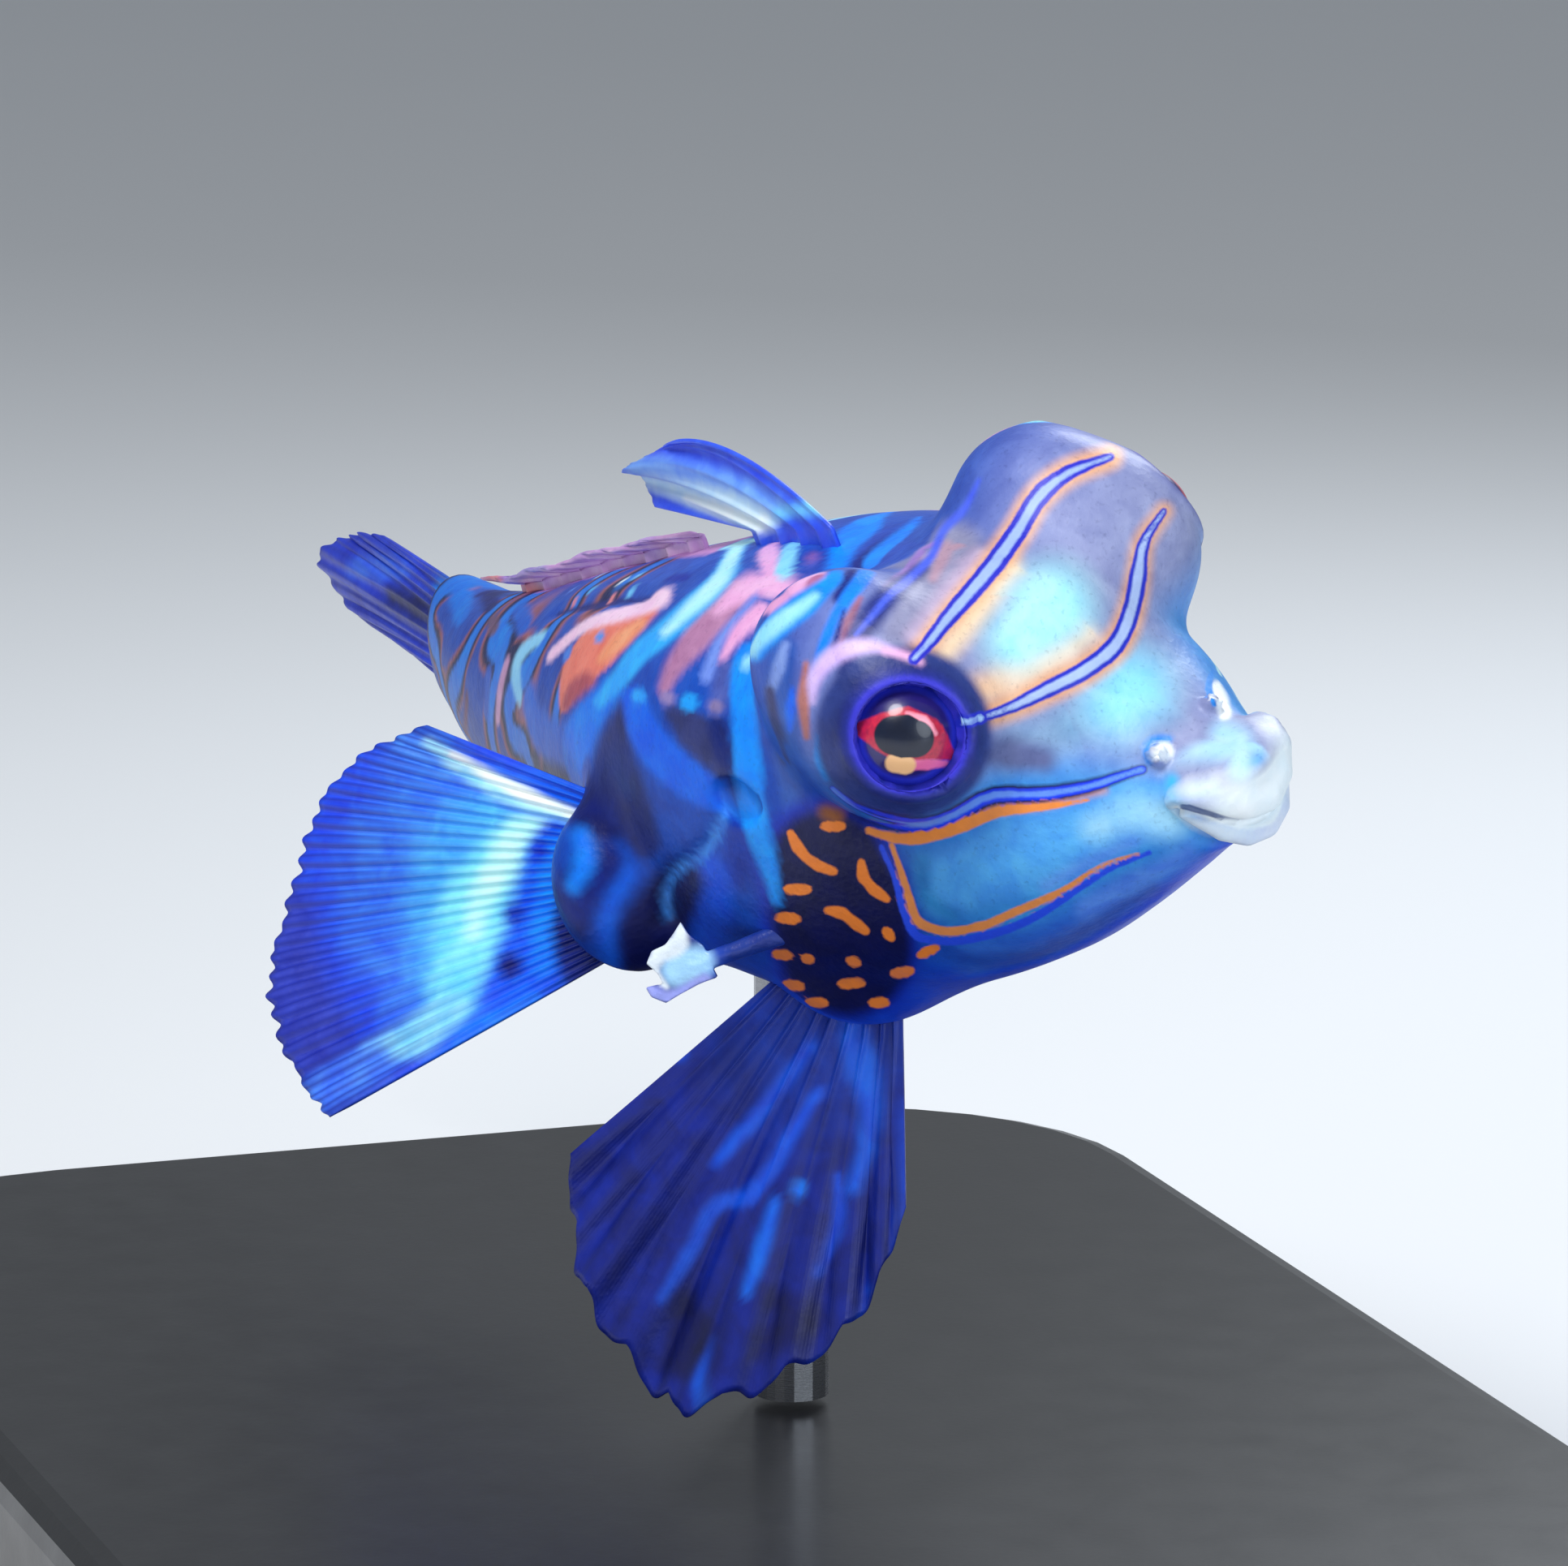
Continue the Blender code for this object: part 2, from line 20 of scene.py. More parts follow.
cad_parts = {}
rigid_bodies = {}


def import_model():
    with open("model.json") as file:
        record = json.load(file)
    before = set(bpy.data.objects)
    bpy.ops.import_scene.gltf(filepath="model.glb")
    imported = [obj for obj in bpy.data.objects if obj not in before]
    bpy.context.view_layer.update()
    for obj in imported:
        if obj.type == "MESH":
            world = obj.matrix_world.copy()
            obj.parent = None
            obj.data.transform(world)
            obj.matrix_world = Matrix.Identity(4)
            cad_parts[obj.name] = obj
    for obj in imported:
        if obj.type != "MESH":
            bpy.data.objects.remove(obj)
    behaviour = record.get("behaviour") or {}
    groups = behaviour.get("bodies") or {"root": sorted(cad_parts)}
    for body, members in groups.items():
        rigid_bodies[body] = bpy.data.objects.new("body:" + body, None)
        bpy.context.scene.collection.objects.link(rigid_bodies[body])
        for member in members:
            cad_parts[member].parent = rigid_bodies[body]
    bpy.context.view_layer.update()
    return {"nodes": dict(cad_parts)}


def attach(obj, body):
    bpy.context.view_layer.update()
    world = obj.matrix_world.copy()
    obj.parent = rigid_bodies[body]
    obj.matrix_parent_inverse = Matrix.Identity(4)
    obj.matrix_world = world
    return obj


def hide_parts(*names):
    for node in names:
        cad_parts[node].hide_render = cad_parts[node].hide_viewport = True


bl_info = {
    "name": "Mandarinfish model",
    "version": (1, 0, 0),
    "blender": (4, 5, 0),
    "location": "3D View > Sidebar > Mandarinfish",
    "description": "Skin, eyes, fins, stand finish and stage of a mandarinfish museum model",
    "category": "Object",
}

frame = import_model()

MM = 0.001

# ---------------------------------------------------------------- the fish's plan, as in the solids

TRUNK_PITCH, TRUNK_ROLL = 11.0, 14.0
HEAD_TURN, HEAD_PITCH, HEAD_ROLL = 21.0, -6.0, 14.0
TAIL_TURN, TAIL_PITCH = 6.0, 12.0
HEAD_FREE, HEAD_BLEND = 4.0, 24.0
TAIL_FREE, TAIL_BLEND = 34.0, 26.0
PIVOT, PIVOT_HEIGHT = 26.0, 25.5

# station, half width, top, widest height, bottom, squareness
BODY = (
    (0.0, 0.6, -1.3, -1.9, -2.4, 2.0),
    (1.9, 2.0, 0.1, -1.8, -3.2, 2.0),
    (3.5, 3.0, 1.5, -1.8, -4.1, 2.1),
    (5.5, 4.2, 2.9, -1.8, -5.2, 2.2),
    (8.0, 5.2, 4.0, -1.8, -6.3, 2.3),
    (11.0, 6.0, 4.7, -1.9, -7.1, 2.4),
    (14.0, 6.5, 5.0, -1.9, -7.7, 2.45),
    (17.0, 6.7, 5.0, -1.8, -7.8, 2.4),
    (21.0, 6.4, 4.8, -1.6, -7.6, 2.3),
    (27.0, 5.5, 4.5, -1.2, -6.8, 2.2),
    (34.0, 4.3, 4.1, -0.7, -5.5, 2.15),
    (42.0, 3.1, 3.5, -0.2, -4.1, 2.1),
    (50.0, 2.0, 2.8, 0.0, -3.0, 2.1),
    (56.0, 1.3, 2.5, 0.0, -2.3, 2.1),
)
BODY_END = 55.5
EYE, DOME_RADIUS, EYE_RADIUS, EYE_FORWARD = (7.7, 4.3, 2.8), 2.4, 1.7, 0.7
GAZES = {-1: (0.78, 0.50, 0.30), 1: (0.12, 0.96, 0.22)}  # forward, out and up, right eye and left
FILLET = 1.1
BROW, BROW_RADII = (9.3, 3.7, 3.4), (3.4, 2.7, 3.4)
SADDLE, SADDLE_RADII = (8.8, 0.0, 2.4), (4.2, 4.6, 3.1)
PECTORAL_LOBE, PECTORAL_LOBE_RADII = (21.2, 6.6, -2.9), (1.6, 2.0, 2.5)
PELVIC_LOBE, PELVIC_LOBE_RADII = (14.9, 4.1, -6.2), (2.0, 1.5, 1.2)
UPPER_LIP, UPPER_LIP_RADII = (1.6, 0.0, -0.75), (1.9, 1.8, 0.78)
MOUTH_FRONT = 1.5  # the mouth's floor, behind the lips
LIP_APERTURE = 0.11
MOUTH_MIDDLE, MOUTH_DIP = -2.28, 0.42  # the line of the mouth rises from its middle to the corners
NOSTRIL, NOSTRIL_RADIUS, NOSTRIL_HEIGHT = (2.3, 1.1), 0.3, 0.40
APERTURE, WELL_DEPTH = 1.42, 1.35  # the eyelids' opening, and how far out its floor lies
GILL_PORE = (13.9, 6.2, 0.6)


def smooth(x):
    x = np.clip(x, 0.0, 1.0)
    return x * x * (3.0 - 2.0 * x)


def unit(v):
    return v / np.maximum(np.linalg.norm(v, axis=-1, keepdims=True), 1e-12)


def eased(s, stations, values):
    """Values between stations, on a smooth curve with no overshoot."""
    x = np.asarray(stations, float)
    v = np.asarray(values, float)
    slope = np.diff(v) / np.diff(x)
    both = slope[1:] * slope[:-1]
    inner = np.where(both > 0, 2 * both / (slope[1:] + slope[:-1] + 1e-12), 0)
    tangent = np.concatenate([slope[:1], inner, slope[-1:]])
    s = np.clip(np.asarray(s, float), x[0], x[-1])
    i = np.clip(np.searchsorted(x, s, side="right") - 1, 0, len(x) - 2)
    h = x[i + 1] - x[i]
    t = (s - x[i]) / h
    a = (1 + 2 * t) * (1 - t) ** 2 * v[i] + t * (1 - t) ** 2 * h * tangent[i]
    return a + t * t * (3 - 2 * t) * v[i + 1] + t * t * (t - 1) * h * tangent[i + 1]


def axes_at(s):
    """The forward, left and up directions of the stance at each station."""
    s = np.asarray(s, float)
    head = 1.0 - smooth((s - HEAD_FREE) / HEAD_BLEND)
    tail = smooth((s - TAIL_FREE) / TAIL_BLEND)
    yaw = np.radians(HEAD_TURN * head - TAIL_TURN * tail)
    pitch = np.radians(TRUNK_PITCH + HEAD_PITCH * head - TAIL_PITCH * tail)
    roll = np.radians(TRUNK_ROLL + HEAD_ROLL * head)
    forward = np.stack(
        [np.cos(pitch) * np.cos(yaw), np.cos(pitch) * np.sin(yaw), np.sin(pitch)], -1
    )
    level = np.stack([-np.sin(yaw), np.cos(yaw), np.zeros_like(yaw)], -1)
    rise = np.cross(forward, level)
    cr, sr = np.cos(roll)[..., None], np.sin(roll)[..., None]
    return forward, level * cr + rise * sr, rise * cr - level * sr


STEPS = np.linspace(-5.0, 80.0, 1701)


def spine_curve():
    """The bent centreline, sampled at STEPS, passing over the stand at PIVOT."""
    forward = axes_at(STEPS)[0]
    step = STEPS[1] - STEPS[0]
    run = np.vstack([np.zeros(3), -np.cumsum((forward[1:] + forward[:-1]) / 2, axis=0) * step])
    middle = np.array([np.interp(PIVOT, STEPS, run[:, k]) for k in range(3)])
    return run - middle + np.array([0.0, 0.0, PIVOT_HEIGHT])


SPINE = spine_curve()


def posed(points, station=None):
    """Straight-fish points in the stance, in mm; a station keeps the piece rigid with the body."""
    p = np.asarray(points, float)
    s = p[..., 0] if station is None else np.full(p.shape[:-1], float(station))
    centre = np.stack([np.interp(s, STEPS, SPINE[:, k]) for k in range(3)], -1)
    forward, left, up = axes_at(s)
    back = forward * (p[..., 0] - s)[..., None]
    return centre - back + left * p[..., 1:2] + up * p[..., 2:3]


def section(s):
    table = np.array(BODY)
    return [eased(s, table[:, 0], table[:, k]) for k in range(1, 6)]


def blend_in(a, b, soft):
    """The smaller of two distances, with a fillet where they meet."""
    h = np.clip(0.5 + 0.5 * (b - a) / soft, 0.0, 1.0)
    return b + (a - b) * h - soft * h * (1.0 - h)


def carve(a, b, soft):
    """The larger of two distances, with a rounded edge where they meet."""
    return -blend_in(-a, -b, soft)


def ball(s, y, z, at, radii):
    """Rough distance outside an ellipsoid, mirrored to both sides of the fish."""
    rs, ry, rz = radii
    q = np.sqrt(
        ((s - at[0]) / rs) ** 2 + ((np.abs(y) - at[1]) / ry) ** 2 + ((z - at[2]) / rz) ** 2
    )
    return (q - 1.0) * min(radii)


def flesh(s, y, z):
    """Rough distance outside the plain body: its sections, eye domes and fleshy fin bases."""
    width, top, middle, bottom, square = section(s)
    height = np.where(z > middle, top - middle, middle - bottom)
    ring = np.abs(y / width) ** square + np.abs((z - middle) / height) ** square
    out = (ring ** (1.0 / square) - 1.0) * np.minimum(width, height)
    out = blend_in(out, ball(s, y, z, SADDLE, SADDLE_RADII), FILLET)
    out = blend_in(out, ball(s, y, z, BROW, BROW_RADII), FILLET)
    out = blend_in(out, ball(s, y, z, EYE, (DOME_RADIUS,) * 3), FILLET)
    out = blend_in(out, ball(s, y, z, PECTORAL_LOBE, PECTORAL_LOBE_RADII), FILLET)
    return blend_in(out, ball(s, y, z, PELVIC_LOBE, PELVIC_LOBE_RADII), FILLET)


def skin_point(s, angle):
    """Where a ray from the centreline leaves the plain body."""
    s, angle = np.broadcast_arrays(np.asarray(s, float), np.asarray(angle, float))
    middle = section(s)[2]
    low, high = np.zeros(s.shape), np.full(s.shape, 16.0)
    for _ in range(24):
        r = (low + high) / 2
        outside = flesh(s, r * np.cos(angle), middle + r * np.sin(angle)) > 0
        low, high = np.where(outside, low, r), np.where(outside, r, high)
    return np.stack([s, low * np.cos(angle), middle + low * np.sin(angle)], -1)


def gaze_axes(side=1):
    """The eye's outward axis, its upward axis and its backward axis, in the straight fish."""
    forward, aside, rise = GAZES[side]
    out = unit(np.array([-forward, side * aside, rise]))
    up = unit(np.array([0.0, 0.0, 1.0]) - out * out[2])
    back = unit(np.cross(up, out) * side)
    return out, up, back


def eye_place(side):
    out = gaze_axes(side)[0]
    return np.array([EYE[0], side * EYE[1], EYE[2]]) + out * EYE_FORWARD


def nostril_axis():
    """Foot and direction of the left nostril's tube."""
    s, y = NOSTRIL
    low, high = 0.0, 1.5
    for _ in range(20):
        angle = (low + high) / 2
        low, high = (angle, high) if skin_point(s, angle)[1] > y else (low, angle)
    foot = skin_point(s, low)
    return foot, unit(foot - np.array([s + 1.2, 0.0, section(s)[2]]))


NOSTRIL_FOOT, NOSTRIL_OUT = nostril_axis()
# half of each lip's roll, from its middle to the corner of the mouth: station, side, height, radius
UPPER_ROLL = (
    (0.25, 0.0, -1.70, 0.50), (0.35, 0.7, -1.48, 0.48), (0.62, 1.25, -1.12, 0.40), (1.02, 1.62, -0.80, 0.26),
    (1.45, 1.84, -0.66, 0.10),
)
LOWER_ROLL = (
    (0.75, 0.0, -2.70, 0.38), (0.8, 0.6, -2.52, 0.38), (0.98, 1.12, -2.06, 0.34), (1.2, 1.55, -1.42, 0.24),
    (1.5, 1.82, -0.84, 0.10),
)


def mouth_line(y):
    return MOUTH_MIDDLE + MOUTH_DIP * np.minimum(np.abs(y), 1.9) ** 2


def rolled(s, y, z, path):
    """Rough distance outside a tapering roll along a mirrored path of (s, y, z, radius)."""
    p = np.stack([s, np.abs(y), z], -1)
    found = np.full(s.shape, 1e3)
    for a, b in zip(path[:-1], path[1:]):
        start, end = np.array(a[:3]), np.array(b[:3])
        run = end - start
        t = np.clip(((p - start) @ run) / (run @ run), 0.0, 1.0)
        gap = np.linalg.norm(p - start - t[..., None] * run, axis=-1)
        found = np.minimum(found, gap - (a[3] + (b[3] - a[3]) * t))
    return found


def surface(s, y, z):
    """Rough distance outside the finished skin: the body with lips, nostrils and eyelids."""
    out = carve(flesh(s, y, z), MOUTH_FRONT - s, 0.25)
    out = carve(out, s - BODY_END, 0.8)
    near = s < 6.0
    sn, yn, zn = s[near], y[near], z[near]
    upper = ball(sn, yn, zn, UPPER_LIP, UPPER_LIP_RADII)
    upper = blend_in(upper, rolled(sn, yn, zn, UPPER_ROLL), 0.45)
    face = blend_in(out[near], upper, 0.35)
    face = blend_in(face, rolled(sn, yn, zn, LOWER_ROLL), 0.3)
    slit = np.abs(zn - mouth_line(yn)) - LIP_APERTURE * (1.0 - 0.5 * np.abs(yn))
    slit = np.maximum(slit, np.hypot(sn - 0.3, yn) - 2.15)
    face = carve(face, -np.maximum(slit, sn - 1.6), 0.12)
    p = np.stack([sn, np.abs(yn), zn], -1) - NOSTRIL_FOOT
    along = p @ NOSTRIL_OUT
    radial = np.linalg.norm(p - along[..., None] * NOSTRIL_OUT, axis=-1)
    wall = np.maximum(radial - NOSTRIL_RADIUS * (1.0 - 0.15 * along), np.abs(along) - NOSTRIL_HEIGHT)
    face = blend_in(face, wall, 0.14)
    face = carve(face, -np.maximum(radial - 0.15, 0.1 - along), 0.05)
    out[near] = face
    for side in (1, -1):
        near = (np.abs(s - EYE[0]) < 4.0) & (y * side > 0.5)
        p = np.stack([s[near], y[near], z[near]], -1) - np.array(EYE) * (1, side, 1)
        gaze = gaze_axes(side)[0]
        height = p @ gaze
        radial = np.linalg.norm(p - height[..., None] * gaze, axis=-1)
        lid = np.hypot(radial - APERTURE - 0.14, height - 1.70) - 0.22
        dome = blend_in(out[near], lid, 0.2)
        out[near] = carve(dome, -np.maximum(radial - APERTURE, WELL_DEPTH - height), 0.14)
    near = (np.abs(s - GILL_PORE[0]) < 2.5)
    pore = ball(s[near], y[near], z[near], GILL_PORE, (0.85, 0.9, 0.6))
    out[near] = carve(out[near], -pore, 0.3)
    return out


# ---------------------------------------------------------------- the camera, and laying strokes

FRAME_WIDTH, FRAME_HEIGHT = 1932, 1930
VIEW_AZIMUTH, VIEW_ELEVATION = math.radians(71.0), math.radians(12.0)
VIEW_SCALE, VIEW_DISTANCE = 46.0, 230.0  # pixels to a millimetre at the eyes, and mm to them
BROW_MIDDLE, BROW_AT = (7.7, 0.0, 3.2), (1237.0, 770.0)  # a point between the eyes, and its pixel


def view_axes():
    a, e = VIEW_AZIMUTH, VIEW_ELEVATION
    towards = np.array([math.sin(a) * math.cos(e), -math.cos(a) * math.cos(e), math.sin(e)])
    right = np.array([math.cos(a), math.sin(a), 0.0])
    up = np.cross(towards, right)
    middle = posed(np.array(BROW_MIDDLE))
    shift = right * (BROW_AT[0] - FRAME_WIDTH / 2) - up * (BROW_AT[1] - FRAME_HEIGHT / 2)
    return towards, right, up, middle - shift / VIEW_SCALE


def sight(pixel):
    """Start and direction of the line of sight through a pixel, in mm."""
    towards, right, up, centre = view_axes()
    x = (pixel[0] - FRAME_WIDTH / 2) / VIEW_SCALE
    y = (FRAME_HEIGHT / 2 - pixel[1]) / VIEW_SCALE
    start = centre + towards * VIEW_DISTANCE
    return start, unit(centre + right * x + up * y - start)


def seen_at(points):
    """Where posed points fall in the view, in pixels over VIEW_SCALE, so in mm there."""
    towards, right, up, centre = view_axes()
    away = points - centre
    depth = 1.0 - (away @ towards) / VIEW_DISTANCE
    x, y = (away @ right) / depth, (away @ up) / depth
    return np.stack([x + FRAME_WIDTH / 2 / VIEW_SCALE, FRAME_HEIGHT / 2 / VIEW_SCALE - y], -1)


class Chart:
    """A piece's surface, its own coordinates at each vertex, and where lines of sight meet it."""

    def __init__(self, points, triangles, values):
        self.points, self.triangles, self.values = points, triangles, values
        self.tree = BVHTree.FromPolygons(points.tolist(), triangles.tolist(), all_triangles=True)

    def at(self, pixel):
        start, along = sight(pixel)
        place, _, index, _ = self.tree.ray_cast(Vector(start), Vector(along))
        if place is None:
            best = None
            for depth in np.linspace(VIEW_DISTANCE - 32.0, VIEW_DISTANCE + 45.0, 40):
                hit = self.tree.find_nearest(Vector(start + along * depth))
                if best is None or hit[3] < best[3]:
                    best = hit
            place, _, index, _ = best
        a, b, c = self.points[self.triangles[index]]
        u, v, p = b - a, c - a, np.array(place) - a
        uu, uv, vv, pu, pv = u @ u, u @ v, v @ v, p @ u, p @ v
        area = uu * vv - uv * uv + 1e-15
        wb, wc = (vv * pu - uv * pv) / area, (uu * pv - uv * pu) / area
        return np.array([1 - wb - wc, wb, wc]) @ self.values[self.triangles[index]]

    def along(self, pixels):
        return np.array([self.at(pixel) for pixel in pixels])


FAR = 3.0


def fair(path, step=9.0):
    """A smooth line through a few pixels, and how far along it each point lies, from 0 to 1."""
    path = np.array(path, float)
    if len(path) == 1:
        return path, np.zeros(1)
    lengths = np.concatenate([[0.0], np.cumsum(np.linalg.norm(np.diff(path, axis=0), axis=1))])
    slope = np.gradient(path, lengths, axis=0)
    at = np.linspace(0.0, lengths[-1], max(int(lengths[-1] / step), 1) + 1)
    i = np.clip(np.searchsorted(lengths, at, side="right") - 1, 0, len(path) - 2)
    h = lengths[i + 1] - lengths[i]
    t = ((at - lengths[i]) / h)[:, None]
    h = h[:, None]
    line = (1 + 2 * t) * (1 - t) ** 2 * path[i] + t * (1 - t) ** 2 * h * slope[i]
    line = line + t * t * (3 - 2 * t) * path[i + 1] + t * t * (t - 1) * h * slope[i + 1]
    return line, at / lengths[-1]


def nearest_along(points, line, places, reach):
    """Distance from each point to a line in space, up to a reach, and the place on it."""
    gap, place = np.full(len(points), FAR), np.zeros(len(points))
    if len(line) == 1:
        line, places = np.repeat(line, 2, axis=0) + np.array([[0.0] * 3, [1e-3] * 3]), np.zeros(2)
    low, high = line.min(axis=0) - reach, line.max(axis=0) + reach
    near = np.where(((points > low) & (points < high)).all(axis=1))[0]
    p, best, found = points[near], np.full(len(near), FAR), np.zeros(len(near))
    for a, b, start, end in zip(line[:-1], line[1:], places[:-1], places[1:]):
        if np.linalg.norm(b - a) > 2.0:
            continue
        within = (p > np.minimum(a, b) - reach) & (p < np.maximum(a, b) + reach)
        here = np.where(within.all(axis=1))[0]
        run = b - a
        t = np.clip(((p[here] - a) @ run) / max(run @ run, 1e-12), 0.0, 1.0)
        far = np.linalg.norm(p[here] - a - t[:, None] * run, axis=1)
        closer = far < best[here]
        here = here[closer]
        best[here], found[here] = far[closer], (start + (end - start) * t)[closer]
    gap[near], place[near] = best, found
    return gap, place


def from_segment(p, a, b):
    """Distance from each point to a segment, and the nearest place along it."""
    run = b - a
    t = np.clip(((p - a) @ run) / max(run @ run, 1e-12), 0.0, 1.0)
    return np.linalg.norm(p - a - t[:, None] * run, axis=1), t


def nearest_in_view(skin, line, spots, places, reach):
    """As nearest_along, but measured across the view where the skin faces it."""
    points, seen, faced = skin
    gap, place = np.full(len(points), FAR), np.zeros(len(points))
    if len(line) == 1:
        line, spots, places = (np.repeat(k, 2, axis=0) for k in (line, spots, places))
    wide = 2.2 * reach + 0.4
    inside = (points > line.min(axis=0) - wide) & (points < line.max(axis=0) + wide)
    near = np.where(inside.all(axis=1))[0]
    p, v, f = points[near], seen[near], faced[near]
    best, found = np.full(len(near), FAR), np.zeros(len(near))
    for k in range(len(line) - 1):
        a, b = line[k], line[k + 1]
        if np.linalg.norm(b - a) > 2.5:
            continue
        within = (p > np.minimum(a, b) - wide) & (p < np.maximum(a, b) + wide)
        here = np.where(within.all(axis=1))[0]
        deep, t = from_segment(p[here], a, b)
        flat, u = from_segment(v[here], spots[k], spots[k + 1])
        measure = np.where(deep < wide, flat * f[here] + deep * (1.0 - f[here]), FAR)
        closer = measure < best[here]
        here, t, u = here[closer], t[closer], u[closer]
        along = u * f[here] + t * (1.0 - f[here])
        best[here], found[here] = measure[closer], places[k] + (places[k + 1] - places[k]) * along
    gap[near], place[near] = best, found
    return gap, place


def washed(tone, seen, washes):
    """Colours with soft strokes of the view laid over them, at points seen there."""
    flat = np.concatenate([seen, np.zeros((len(seen), 1))], axis=1)
    for code, soft, halves, path in washes:
        line, places = fair(path)
        line = np.concatenate([line / VIEW_SCALE, np.zeros((len(line), 1))], axis=1)
        soft = soft / VIEW_SCALE
        gap, place = nearest_along(flat, line, places, max(halves) / VIEW_SCALE + soft)
        share = smooth(0.5 - (gap - widths_at(place, halves)) / (2 * soft))[:, None]
        tone = tone * (1 - share) + np.array(paint(code)) * share
    return tone


def stroke_gap(points, line, places, halves):
    """Distance outside a stroke whose half widths, in pixels, are given from end to end."""
    gap, place = nearest_along(points, line, places, 1.5)
    return gap - widths_at(place, halves)


def widths_at(place, halves):
    """Half width in mm, at places along a stroke, from a few values in pixels."""
    halves = np.atleast_1d(halves)
    return np.interp(place, np.linspace(0.0, 1.0, len(halves)), halves) / VIEW_SCALE


# ---------------------------------------------------------------- colours


def paint(code):
    """A colour from its six hexadecimal digits, as linear red, green and blue."""
    parts = [int(code[k : k + 2], 16) / 255 for k in (0, 2, 4)]
    return tuple(c / 12.92 if c < 0.04045 else ((c + 0.055) / 1.055) ** 2.4 for c in parts)


def colour_property(name, description, code):
    return FloatVectorProperty(
        name=name, description=description, default=paint(code), subtype="COLOR", min=0.0, max=1.0
    )


# Markings, with some painted highlights and painted shade, drawn along paths through pixels of the view.
# WASHES are soft: colour, softness and half widths in pixels, the path, and for some a limit; later ones
# cover earlier ones. STROKES are crisp, in three levels that cover each other: band, line and core.
# A limit says how far to the fish's left, in mm, a marking's points are mirrored as well as laid.
SIDES = 0.25  # the right side, up to just past the midline: laid there and mirrored
ONCE = -9.0  # none: a marking across the head is laid as it is
NAPE = -4.2  # the lower end of a band of the nape

EYE_LINE_A = ((1126, 812), (1142, 795), (1160, 772), (1190, 738), (1222, 700), (1254, 655), (1279, 613),
              (1312, 585), (1368, 563))
EYE_LINE_B = ((1216, 882), (1237, 875), (1290, 850), (1340, 824), (1374, 796), (1390, 765), (1399, 735),
              (1404, 700), (1408, 672), (1434, 630))
EYE_BEADS = ((1172, 882), (1185, 889), (1197, 888), (1207, 885))
CHEEK_LINE = ((1023, 975), (1052, 998), (1092, 1014), (1139, 1020), (1179, 1006), (1217, 984), (1283, 979),
              (1347, 968), (1388, 954), (1408, 948))
CHEEK_FRAME_TOP = ((1069, 1024), (1110, 1035), (1162, 1027), (1196, 1015), (1231, 1001), (1283, 995),
                   (1341, 986))
CHEEK_FRAME_REAR = ((1098, 1040), (1110, 1073), (1121, 1108), (1130, 1134), (1158, 1147), (1208, 1142),
                    (1254, 1122), (1312, 1096), (1358, 1067), (1404, 1051))
CHEEK_RIM = ((1086, 1044), (1103, 1084), (1114, 1125), (1128, 1152), (1166, 1162), (1214, 1154),
             (1272, 1131), (1324, 1099), (1370, 1070), (1416, 1051))
CHEEK_MIDDLE = ((1160, 1090), (1230, 1068), (1300, 1042), (1370, 1015), (1420, 992))
GILL_PATCH = ((1018, 1070), (1030, 1110), (1042, 1170))
GILL_MARKS = (
    ((1016, 1018), (1029, 1010), (1038, 1018)),
    ((974, 1027), (984, 1046), (999, 1062), (1027, 1074)),
    ((1061, 1063), (1062, 1080), (1072, 1094), (1092, 1108)),
    ((970, 1096), (982, 1090), (996, 1096)),
    ((958, 1130), (970, 1138), (984, 1132)),
    ((1020, 1122), (1034, 1124), (1048, 1134), (1066, 1148)),
    ((1091, 1148), (1098, 1156)),
    ((955, 1176), (973, 1177)),
    ((992, 1180), (1000, 1183)),
    ((1047, 1184), (1057, 1187)),
    ((968, 1213), (988, 1216)),
    ((1036, 1213), (1062, 1211)),
    ((1102, 1199), (1122, 1196)),
    ((1134, 1178), (1152, 1172)),
    ((996, 1236), (1016, 1237)),
    ((1074, 1236), (1092, 1235)),
)
FIRST_BAND = ((1030, 712), (1000, 736), (968, 762), (932, 795), (916, 835), (918, 885), (922, 935),
              (925, 985), (935, 1030), (950, 1075), (958, 1110))
SECOND_BAND = ((925, 645), (905, 680), (885, 715), (850, 750), (818, 780), (788, 806), (765, 835),
               (738, 864))
LOWER_BAND = ((781, 862), (793, 900), (825, 942), (862, 970), (905, 992))
GILL_EDGE = ((903, 980), (890, 1002), (878, 1032), (860, 1058), (830, 1074), (818, 1100), (822, 1132))
TEARDROP = ((800, 750), (760, 772), (722, 800), (702, 832), (696, 862))
NAPE_ONE = ((1108, 628), (1065, 645), (1042, 668), (1032, 695), (1026, 715))
NAPE_TWO = ((1132, 638), (1105, 665), (1080, 688), (1062, 715), (1042, 740), (1028, 765), (1016, 790),
            (1008, 815), (1004, 838))
NAPE_THREE = ((1207, 592), (1188, 628), (1162, 655), (1147, 686), (1122, 712), (1095, 735), (1074, 760),
              (1055, 782))
JAW_BAND = ((1150, 1178), (1200, 1190), (1260, 1186), (1330, 1156), (1420, 1098))
PECTORAL_ROOT = ((740, 1061), (704, 1110), (690, 1172), (708, 1217))
BACK_GROOVE = ((682, 752), (735, 742), (794, 733))

